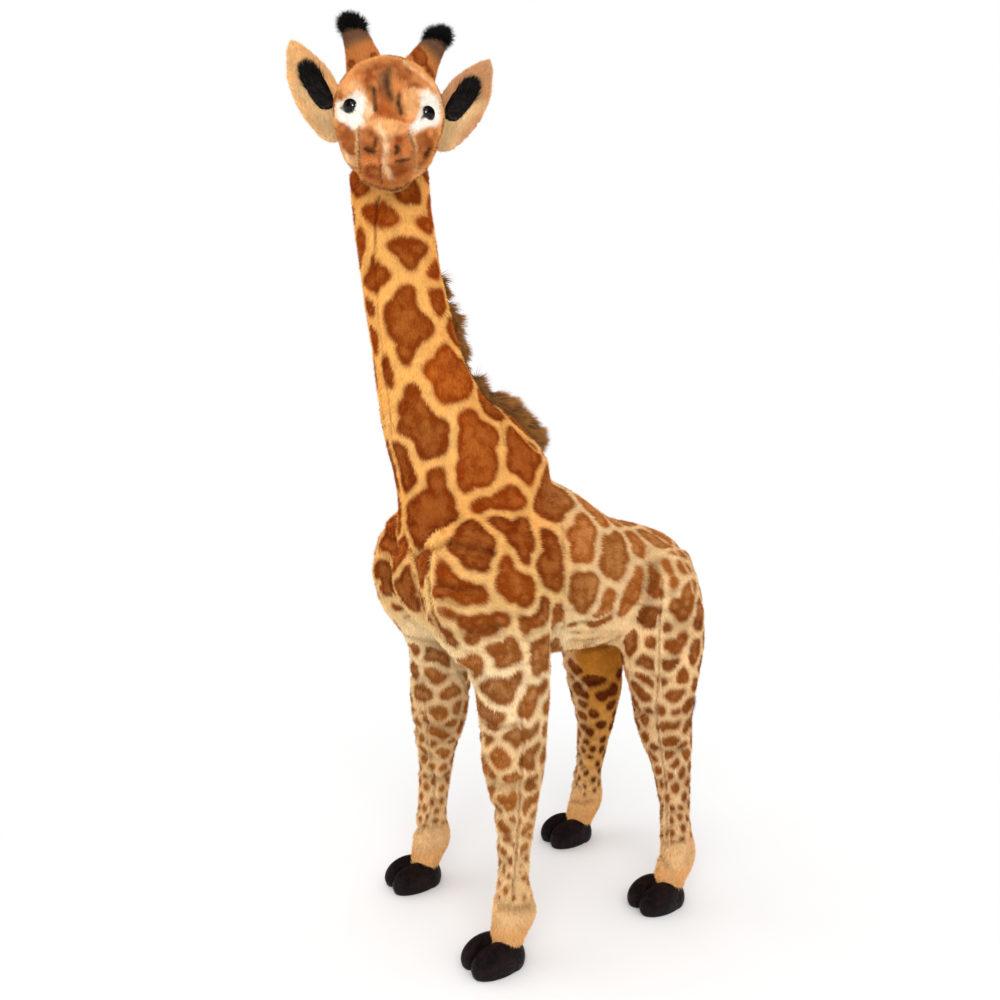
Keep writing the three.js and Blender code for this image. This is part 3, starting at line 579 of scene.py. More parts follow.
def inflate(made, pinned):
    group = made.vertex_groups.new(name="sewn")
    group.add([int(i) for i in np.flatnonzero(pinned > 0.5)], 1.0, "REPLACE")
    cloth = made.modifiers.new("stuffing", "CLOTH")
    settings = cloth.settings
    settings.quality = bodySkin["quality"]
    settings.mass = bodySkin["mass"]
    settings.tension_stiffness = settings.compression_stiffness = bodySkin["stretch"]
    settings.shear_stiffness = bodySkin["shear"]
    settings.bending_stiffness = bodySkin["bend"]
    settings.use_pressure = True
    settings.uniform_pressure_force = bodySkin["pressure"]
    settings.vertex_group_mass = "sewn"
    settings.effector_weights.gravity = 0
    cloth.collision_settings.use_collision = False
    start = places(made)
    cloth.point_cache.frame_start, cloth.point_cache.frame_end = 1, bodySkin["frames"]
    for number in range(1, bodySkin["frames"] + 1):
        scene.frame_set(number)
    after = bpy.data.meshes.new_from_object(made.evaluated_get(bpy.context.evaluated_depsgraph_get()))
    co = np.empty(len(after.vertices) * 3, np.float32)
    after.vertices.foreach_get("co", co)
    moved = co.reshape(-1, 3).astype(float) - start
    bpy.data.meshes.remove(after)
    made.modifiers.clear()
    made.vertex_groups.clear()
    scene.frame_set(1)
    size = np.linalg.norm(moved, axis=1)[:, None]
    putPlaces(made, start + moved * np.minimum(1, bodySkin["cap"] / np.maximum(size, 1e-9)))


def makeBodySkin():
    made = oneSkin("bodySkin", list(bodyForms.values()), bodySkin["voxel"])
    pairs = edgePairs(made)
    labels = nearestForm(places(made), bodyForms)
    co = relaxed(places(made), pairs, bodySkin["smoothing"])
    putPlaces(made, co)
    # smoothing draws the thin legs in, so each point goes back out to its form
    tree = BVHTree.FromPolygons(np.vstack([v for v, _ in bodyForms.values()]).tolist(), joinFaces(bodyForms))
    normals = vertexNormals(made)
    seam = seamMask(labels, pairs)
    near = relaxed(seam[:, None], pairs, 6)[:, 0]
    for i in range(len(co)):
        hit = tree.find_nearest(Vector(co[i]))
        if hit[0] is not None and near[i] < bodySkin["seamShare"] and hit[3] < bodySkin["formReach"]:
            co[i] = hit[0]
    co = relaxed(co, pairs, 1, 0.4)
    putPlaces(made, co)
    names = list(bodyForms)
    limb = np.array([n.split("_")[0] for n in names])[labels]
    pinned = seam.copy()
    for pair, rings in legRings.items():
        on = limb == pair
        for height, tilt in rings:
            level = height + tilt * (co[:, 1] - np.mean(co[on, 1]))
            pinned[on & (np.abs(co[:, 2] - level) < 0.6 * bodySkin["voxel"])] = 1
    middle = (np.abs(co[:, 0]) < 0.5 * bodySkin["voxel"]) & np.isin(limb, ("neck", "trunk"))
    pinned[middle] = 1
    putPlaces(made, co - normals * bodySkin["deflate"])
    inflate(made, pinned)
    finer = made.modifiers.new("finer", "SUBSURF")
    finer.levels = finer.render_levels = 1
    settled(made)
    return made


def joinFaces(forms):
    faces, start = [], 0
    for verts, own in forms.values():
        faces += [tuple(i + start for i in face) for face in own]
        start += len(verts)
    return faces


skin = makeBodySkin()
print("body skin sewn and stuffed:", len(skin.data.vertices), "points")

# The head's own frame: it faces -Y, its origin is the middle of the neck ball
headPose = {"turn": 66, "roll": 3.5}
headTurn = np.array(Matrix.Rotation(math.radians(headPose["turn"]), 3, "Z")
                    @ Matrix.Rotation(math.radians(headPose["roll"]), 3, "Y"))
headOrigin = np.array(neckPoints()[-1])


def fromHead(points):
    return np.asarray(points, float) @ headTurn.T + headOrigin


def toHead(points):
    return (np.asarray(points, float) - headOrigin) @ headTurn


head = {
    "voxel": 0.0034, "width": 0.144, "depth": 0.134, "rise": 0.074, "back": 0.062, "reach": 0.106, "drop": 0.110,
    "end": 0.2,
    "spine": [[-1, 0], [-0.2, 0.045], [0.415, 0.33], [1, 1]],
    "rows": [[0, 0.72, 0.72, 0.72], [0.12, 0.92, 0.9, 0.92], [0.3, 1, 0.96, 1], [0.45, 0.99, 0.94, 0.96],
             [0.6, 0.93, 0.86, 0.8], [0.75, 0.84, 0.76, 0.64], [0.88, 0.74, 0.64, 0.54], [1, 0.6, 0.5, 0.44]],
}
muzzle = {
    "width": 0.072, "depth": 0.092, "length": 0.112, "reach": 0.126, "rise": 0.046, "end": 0.25,
    "spine": [[0.66, 0.1], [0.3, 0.45], [0.06, 0.76]],
    "rows": [[0, 0.7, 0.6, 0.5], [0.2, 0.86, 0.8, 0.7], [0.5, 0.98, 0.94, 0.84], [0.75, 1, 1, 0.94],
             [1, 0.82, 0.84, 0.8]],
}
horns = {
    "length": 0.069, "sunk": 0.028, "width": 0.072, "spread": 0.025, "rise": 0.108, "back": 0.016,
    "lean": {1: 31, -1: 24},
    "rows": [[0, 0.97, 0.97, 0.97], [0.3, 0.88, 0.88, 0.88], [0.65, 0.6, 0.6, 0.6], [1, 0.43, 0.43, 0.43]],
    "tuftWidth": 0.030, "tuftHeight": 0.024, "tuftSunk": 0.4, "voxel": 0.003,
    "tuftRows": [[0, 0.7, 0.7, 0.7], [0.4, 1, 1, 1], [1, 0.8, 0.8, 0.8]],
}
ears = {
    "length": 0.157, "width": 0.088, "thickness": 0.011, "cup": 0.015, "rootRadius": 0.008, "rootLength": 0.060,
    "tilt": 32, "start": 0.030, "sweep": 14, "toe": 4, "voxel": 0.0026, "liningVoxel": 0.0018,
    "rows": [[0, 0.9, 0.5, 0.3], [0.14, 1, 0.78, 0.46], [0.36, 1, 0.96, 0.58], [0.64, 0.9, 0.82, 0.58],
             [0.82, 0.8, 0.52, 0.38], [0.95, 0.7, 0.26, 0.18], [1, 0.6, 0.14, 0.1]],
    "liningLength": 0.070, "liningWidth": 0.034, "liningThickness": 0.003,
    "liningRows": [[0, 1, 0.8, 0.4], [0.3, 1, 1.1, 0.7], [0.7, 1, 1.1, 0.7], [1, 1, 0.7, 0.3]],
    "places": {"left": (0.01932, -0.16144, 1.20277), "right": (-0.03739, -0.28875, 1.21124)},
}
hooves = {
    "length": 0.084, "width": 0.074, "height": 0.044, "lobeWidth": 0.043, "lobeRise": 0.030, "ahead": 0.022,
    "heelLength": 0.062, "heelWidth": 0.068, "heelHeight": 0.042, "heelRise": 0.030, "voxel": 0.0026,
    "rest": 0.0, "cleft": 0.003, "cleftDepth": 0.003, "cleftBack": 0.006, "cleftLow": 0.02, "cleftHigh": 0.045,
}
mane = {
    "width": 0.026, "proud": 0.034, "end": 0.06, "voxel": 0.005,
    "along": [0.17, 0.27, 0.37, 0.47, 0.59, 0.73],
    "rows": [[0, 0.7, 0.4, 0.5], [0.1, 0.9, 0.4, 0.62], [0.26, 0.9, 0.4, 0.5], [0.42, 0.8, 0.4, 0.3],
             [0.6, 0.7, 0.4, 0.2], [0.8, 0.7, 0.4, 0.18], [1, 0.5, 0.4, 0.14]],
}
tail = {
    "rootRadius": 0.016, "length": 0.250, "width": 0.026, "back": 0.256, "height": 0.545, "hang": 0.030,
    "tuftLength": 0.092, "tuftWidth": 0.032, "voxel": 0.003,
    "spine": [[0, 0], [0.6, 0.01], [0.92, 0.1], [1, 0.3], [1, 1]],
    "rows": [[0, 0.9, 0.9, 0.9], [0.2, 1, 1, 1], [0.6, 0.86, 0.86, 0.86], [1, 0.7, 0.7, 0.7]],
    "tuftRows": [[0, 0.6, 0.6, 0.6], [0.35, 1, 1, 1], [0.7, 0.8, 0.8, 0.8], [1, 0.3, 0.3, 0.3]],
}
eyes = {"radius": 0.0105, "dome": 0.008, "spread": 0.0385, "rise": 0.053, "ahead": 0.062, "sunk": 0.0025,
        "rings": 14, "around": 40}


def ballForm(centre, radii, rings=24, around=32):
    lat = np.linspace(0, math.pi, rings + 1)
    lon = np.linspace(0, 2 * math.pi, around, endpoint=False)
    grid = np.stack([np.sin(lat)[1:-1, None] * np.cos(lon), np.sin(lat)[1:-1, None] * np.sin(lon),
                     np.cos(lat)[1:-1, None] * np.ones(around)], -1).reshape(-1, 3)
    verts = np.vstack([grid, [[0, 0, 1], [0, 0, -1]]]) * np.array(radii) + np.array(centre)
    n = rings - 1
    faces = [(i * around + j, (i + 1) * around + j, (i + 1) * around + (j + 1) % around, i * around + (j + 1) % around)
             for i in range(n - 1) for j in range(around)]
    faces += [(n * around, j, (j + 1) % around) for j in range(around)]
    faces += [(n * around + 1, (n - 1) * around + (j + 1) % around, (n - 1) * around + j) for j in range(around)]
    return verts, faces


def moved(form, change):
    return change(form[0]), form[1]


def headForm():
    h = head
    spine = [[0, -a * (h["back"] if a < 0 else h["reach"]), h["rise"] - d * h["drop"]] for a, d in h["spine"]]
    return stuffed(spine, h["rows"], h["width"], h["depth"], h["end"], rings=60)


def muzzleForm():
    m = muzzle
    spine = [[0, b * m["length"] - m["reach"], m["rise"] - d * m["length"]] for b, d in m["spine"]]
    return stuffed(spine, m["rows"], m["width"], m["depth"], m["end"], rings=50)


def hornSpine(side, low, high):
    lean = math.radians(horns["lean"][side])
    return [[side * (horns["spread"] + up * math.sin(lean)), horns["back"], horns["rise"] + up * math.cos(lean)]
            for up in (low, (low + high) / 2, high)]


def leafSpine(length, start, forward):
    tilt = math.radians(ears["tilt"])
    return [[(start + s * length) * math.sin(tilt), -forward, (start + s * length) * math.cos(tilt)]
            for s in (0, 0.5, 1)]


def cupped(points):
    tilt = math.radians(ears["tilt"])
    half = ears["width"] / 2
    aside = (points[:, 0] * math.cos(tilt) - points[:, 2] * math.sin(tilt)) / half
    out = points.copy()
    out[:, 1] -= ears["cup"] * aside ** 2 * np.clip(points[:, 0] / half, 0, 1)
    return out


def earPlace(sideName, side):
    turn = np.array(Matrix.Rotation(math.radians(-side * ears["toe"]), 3, "Z"))
    lean = np.array(Matrix.Rotation(math.radians(-ears["sweep"]), 3, "X"))
    origin = toHead(ears["places"][sideName])
    # XYZ order: the lean about X is the outer turn, the toe about Z the inner one
    frameTurn = lean @ turn

    def place(points):
        own = np.asarray(points, float).copy()
        own[:, 0] *= side
        return fromHead(own @ frameTurn.T + origin)
    return place


def earForms(sideName, side):
    e = ears
    leaf = stuffed(leafSpine(e["length"], -e["start"], 0), e["rows"], e["thickness"], e["width"], 0.1,
                   rings=50, around=40, side=(0, 1, 0))
    points = cupped(leaf[0])
    points[:, 0] = np.maximum(points[:, 0], -0.002)
    place = earPlace(sideName, side)
    roll = e["rootLength"] / 2
    root = ballForm((0, 0, 0), (e["rootRadius"], e["rootRadius"], roll))
    lining = stuffed(leafSpine(e["liningLength"], 2 * e["rootRadius"], (e["thickness"] + e["liningThickness"]) / 2),
                     e["liningRows"], 2 * e["liningThickness"], e["liningWidth"], 0.1, rings=40, around=32,
                     side=(0, 1, 0))
    return ((place(points), leaf[1]), moved(root, place)), moved((cupped(lining[0]), lining[1]), place)


def hoofForms(pair, side):
    h = hooves
    x, y = legPoints(pair, side)[0][:2]
    aside = (h["width"] - h["lobeWidth"]) / 2
    out = []
    for dx in (-aside, aside):
        out.append(ballForm((x + dx, y - h["ahead"], h["height"] - h["lobeRise"]),
                            (h["lobeWidth"] / 2, h["length"] / 2, h["lobeRise"])))
    out.append(ballForm((x, y, h["heelHeight"] - h["heelRise"]), (h["heelWidth"] / 2, h["heelLength"] / 2,
                                                                 h["heelRise"])))
    return out


def maneForm():
    curve = curveThrough(neckPoints())
    place, tangent = alongCurve(curve, np.array(mane["along"]))
    forward = np.cross([1, 0, 0], tangent)
    forward /= np.linalg.norm(forward, axis=1)[:, None]
    behind = smoothRows(neck["rows"], np.array(mane["along"]))[:, 2]
    points = place - forward * (behind * neck["depth"] / 2)[:, None]
    return stuffed(points, mane["rows"], mane["width"], 2 * mane["proud"], mane["end"], rings=80, around=24)


def tailForms():
    t = tail
    root = np.array([0, t["back"] + packedShift, t["height"]])
    spine = [root + [0, b * t["hang"], -d * t["length"]] for b, d in t["spine"]]
    cord = stuffed(spine, t["rows"], t["width"], t["width"], 0.05, rings=80, around=24)
    end = spine[-1]
    points = [end + [0, 0, up] for up in (t["width"], t["width"] - t["tuftLength"] / 2, t["width"] - t["tuftLength"])]
    tuft = stuffed(points, t["tuftRows"], t["tuftWidth"], t["tuftWidth"], 0.4, rings=30, around=24)
    return (cord, ballForm(root, [t["rootRadius"]] * 3)), tuft


def finished(made, levels=1):
    if levels:
        finer = made.modifiers.new("finer", "SUBSURF")
        finer.levels = finer.render_levels = levels
        settled(made)
    made.data.polygons.foreach_set("use_smooth", [True] * len(made.data.polygons))
    return made


def softened(name, forms, voxel, rounds=3, levels=1):
    made = oneSkin(name, forms, voxel)
    putPlaces(made, relaxed(places(made), edgePairs(made), rounds))
    return finished(made, levels)


pieces = {}


def makeHead():
    forms = [moved(headForm(), fromHead), moved(muzzleForm(), fromHead)]
    pieces["headSkin"] = softened("headSkin", forms, head["voxel"], 2)
    for sideName, side in sides:
        h = horns
        horn = stuffed(hornSpine(side, -h["sunk"], h["length"]), h["rows"], h["width"], h["width"], 0.1, rings=30)
        pieces[f"horn_{sideName}"] = softened(f"hornSkin_{sideName}", [moved(horn, fromHead)], h["voxel"])
        low = h["length"] - h["tuftSunk"] * h["tuftHeight"]
        tuft = stuffed(hornSpine(side, low, low + h["tuftHeight"]), h["tuftRows"], h["tuftWidth"], h["tuftWidth"], 0.4,
                       rings=20, around=24)
        pieces[f"hornTuft_{sideName}"] = softened(f"hornTuftCore_{sideName}", [moved(tuft, fromHead)], h["voxel"])
        leafForms, lining = earForms(sideName, side)
        pieces[f"ear_{sideName}"] = softened(f"earSkin_{sideName}", leafForms, ears["voxel"], 1)
        pieces[f"lining_{sideName}"] = softened(f"earSatin_{sideName}", [lining], ears["liningVoxel"], 1)


def skinTree(made):
    bpy.context.view_layer.update()
    return BVHTree.FromObject(made, bpy.context.evaluated_depsgraph_get())


def makeEyes():
    surface = skinTree(pieces["headSkin"])
    e = eyes
    for sideName, side in sides:
        centre = fromHead([[0, 0, head["rise"]]])[0]
        target = fromHead([[side * e["spread"], -e["ahead"], e["rise"]]])[0]
        ray = Vector(target - centre).normalized()
        hit = surface.ray_cast(Vector(centre) + ray * 0.3, -ray)[0]
        turn = np.array(Vector((0, 0, 1)).rotation_difference(ray).to_matrix())
        lat = np.linspace(0, math.pi / 2, e["rings"] + 1)
        profile = [(e["radius"] * math.cos(a), e["dome"] * math.sin(a) - e["sunk"]) for a in lat[:-1]]
        profile = [(e["radius"] * 0.9, -e["sunk"] - 0.002)] + profile
        lon = np.linspace(0, 2 * math.pi, e["around"], endpoint=False)
        verts = np.array([[r * math.cos(b), r * math.sin(b), z] for r, z in profile for b in lon]
                         + [[0, 0, -e["sunk"] - 0.002], [0, 0, e["dome"] - e["sunk"]]])
        form = (verts @ turn.T + np.array(hit), ringFaces(len(profile), e["around"]))
        name = f"eyeDome_{sideName}"
        pieces[f"eye_{sideName}"] = finished(objectOf(name, meshOf(name, [form])), 0)


def makeHooves():
    for pair, sideName, side in legNames:
        made = oneSkin(f"{pair}Hoof_{sideName}", hoofForms(pair, side), hooves["voxel"])
        co = relaxed(places(made), edgePairs(made), 2)
        x, y = legPoints(pair, side)[0][:2]
        ahead = step(0.0, 0.03, y - hooves["ahead"] - co[:, 1] + 0.02)
        groove = np.exp(-((co[:, 0] - x) / hooves["cleft"]) ** 2) * ahead
        co[:, 2] -= hooves["cleftDepth"] * groove * (co[:, 2] > hooves["cleftLow"])
        co[:, 1] += hooves["cleftBack"] * groove * (co[:, 2] <= hooves["cleftHigh"])
        co[:, 2] = np.maximum(co[:, 2], hooves["rest"])
        putPlaces(made, co)
        pieces[f"{pair}Hoof_{sideName}"] = finished(made)


makeHead()
makeEyes()
makeHooves()
pieces["mane"] = softened("maneCore", [maneForm()], mane["voxel"])
tailCord, tailEnd = tailForms()
pieces["tail"] = softened("tailSkin", tailCord, tail["voxel"])
pieces["tailTuft"] = softened("tailTuftCore", [tailEnd], tail["voxel"])
print("head, ears, horns, hooves, mane and tail shaped")

# Seams, folds and piping, by their places in the photograph; the coat is darkened in their grooves as painted shade
seamKinds = {
    # width, depth, how much darker the coat gets as painted shade in the groove, half width of a pale piping
    "dark": (0.0026, 0.0032, 0.55, 0.0),
    "fine": (0.0020, 0.0020, 0.35, 0.0),
    "piping": (0.0042, 0.0026, 0.0, 0.0042),
    "fold": (0.0075, 0.0042, 0.28, 0.0),
    "tuck": (0.0045, 0.0030, 0.25, 0.0),
    "hollow": (0.0130, 0.0060, 0.34, 0.0),
}
seams = [
    ("dark", [(379, 196), (376, 212), (375, 225), (374, 262)]),
    ("fine", [(374, 262), (377, 300), (384, 360), (391, 420), (397, 480)]),
    ("fine", [(444, 288), (450, 310), (458, 334), (469, 365), (475, 387), (487, 400), (500, 420), (504, 446)]),
    ("piping", [(502, 414), (516, 431), (531, 446), (547, 461), (559, 482)]),
    ("piping", [(411, 552), (413, 575), (420, 596), (432, 615), (437, 628), (447, 645), (452, 658), (465, 684),
                (471, 700)]),
    ("dark", [(398, 508), (404, 530), (410, 548), (414, 560)]),
    ("fold", [(414, 556), (424, 551), (435, 548), (450, 541)]),
    ("dark", [(430, 555), (428, 575), (430, 592), (433, 610)]),
    ("fold", [(455, 543), (474, 547), (492, 551)]), ("fold", [(438, 585), (460, 588), (478, 588)]),
    ("tuck", [(441, 598), (450, 602), (460, 605)]), ("fold", [(463, 633), (480, 632), (498, 627)]),
    ("fold", [(406, 635), (420, 641), (443, 644)]),
    ("fine", [(562, 526), (565, 563), (565, 587), (561, 605), (564, 623), (556, 639)]),
    ("piping", [(566, 631), (593, 631), (623, 618), (642, 599), (647, 581), (646, 548)]),
    ("tuck", [(570, 640), (592, 640), (612, 634)]), ("tuck", [(572, 622), (596, 622), (616, 612)]),
    ("tuck", [(584, 648), (604, 645), (622, 634)]),
    ("piping", [(624, 523), (645, 531), (665, 541), (680, 558), (690, 575), (693, 592)]),
    ("fold", [(634, 525), (641, 524), (647, 525), (652, 530)]),
    ("fine", [(662, 580), (659, 620), (659, 672), (656, 707), (660, 740), (665, 776), (667, 807), (667, 848)]),
    ("hollow", [(651, 563), (652, 584), (647, 604), (641, 620)]),
    ("fold", [(662, 660), (671, 659), (679, 657)]), ("tuck", [(654, 675), (664, 678), (673, 679)]),
    ("fold", [(634, 711), (646, 713), (657, 713)]), ("fold", [(659, 749), (673, 751), (685, 749)]),
    ("fold", [(491, 784), (511, 787), (535, 782)]), ("tuck", [(481, 722), (500, 727), (520, 724)]),
    ("tuck", [(505, 835), (518, 837), (530, 834)]), ("fold", [(500, 906), (515, 909), (531, 905)]),
    ("fold", [(432, 726), (442, 728), (451, 726)]), ("fold", [(420, 752), (425, 755), (432, 755)]),
    ("fold", [(427, 777), (438, 779), (448, 777)]), ("tuck", [(421, 826), (432, 828), (443, 825)]),
    ("fine", [(424, 696), (427, 728), (432, 770), (435, 786), (430, 812), (422, 832)]),
    ("tuck", [(571, 800), (583, 803), (595, 800)]), ("tuck", [(657, 840), (670, 843), (685, 840)]),
    ("fine", [(520, 700), (523, 740), (520, 790), (517, 850), (512, 900)]),
]
skinFinish = {"lump": 0.0024, "lumpScale": 17.0, "crumple": 0.0007, "crumpleScale": 62.0,
              "crease": 0.0017, "creaseAcross": 13.0, "creaseUp": 50.0, "creaseShade": 0.24, "creaseWidth": 0.15,
              "creaseLow": (0.08, 0.14), "creaseHigh": (0.5, 0.66), "often": (0.45, 1.6), "oftenScale": 9,
              "lips": 0.35, "lipsOut": 2.3, "shadeWidth": 0.8}


def castLine(tree, line):
    found = []
    for (u0, v0), (u1, v1) in zip(line, line[1:]):
        count = max(2, int(math.hypot(u1 - u0, v1 - v0)))
        for t in np.linspace(0, 1, count, endpoint=False):
            hit = tree.ray_cast(Vector(eyePlace), rayThrough(u0 + t * (u1 - u0), v0 + t * (v1 - v0)))
            if hit[0] is not None:
                found.append(np.array(hit[0]))
    return found


def carveSkin(made):
    co, normals = places(made), vertexNormals(made)
    tree = skinTree(made)
    shift, shade, pipe = np.zeros(len(co)), np.ones(len(co)), np.full(len(co), -0.05)
    for kind in seamKinds:
        width, depth, dark, piping = seamKinds[kind]
        points = [p for k, line in seams if k == kind for p in castLine(tree, line)]
        points += [p * np.array([-1, 1, 1]) for p in points]
        near = nearTree(points)
        away = np.array([near.find(p)[2] for p in co])
        groove = np.exp(-(away / width) ** 2)
        lips = np.exp(-((away - skinFinish["lipsOut"] * width) / width) ** 2)
        shift += depth * (skinFinish["lips"] * lips - groove)
        # painted shade: the coat darkens along each groove
        shade *= 1 - dark * np.exp(-(away / (skinFinish["shadeWidth"] * width)) ** 2)
        if piping:
            pipe = np.maximum(pipe, piping - away)
    # creases that run round the legs, darkened in them as painted shade
    stretch = np.array([skinFinish["creaseAcross"]] * 2 + [skinFinish["creaseUp"]])
    level = noiseAt(co * stretch, 1)
    often = np.clip(skinFinish["often"][0] + skinFinish["often"][1] * noiseAt(co, skinFinish["oftenScale"]), 0, 1)
    z = co[:, 2]
    crease = np.exp(-(level / skinFinish["creaseWidth"]) ** 2) * often
    crease *= step(*skinFinish["creaseLow"], z) * (1 - step(*skinFinish["creaseHigh"], z))
    shift -= skinFinish["crease"] * crease
    shade *= 1 - skinFinish["creaseShade"] * crease
    lump = noiseAt(co, skinFinish["lumpScale"]) * skinFinish["lump"]
    crumple = noiseAt(co, skinFinish["crumpleScale"]) * skinFinish["crumple"]
    putPlaces(made, co + normals * (shift + lump + crumple)[:, None])
    return shade, pipe


seamShade, seamPipe = carveSkin(skin)
print("seams and folds carved")

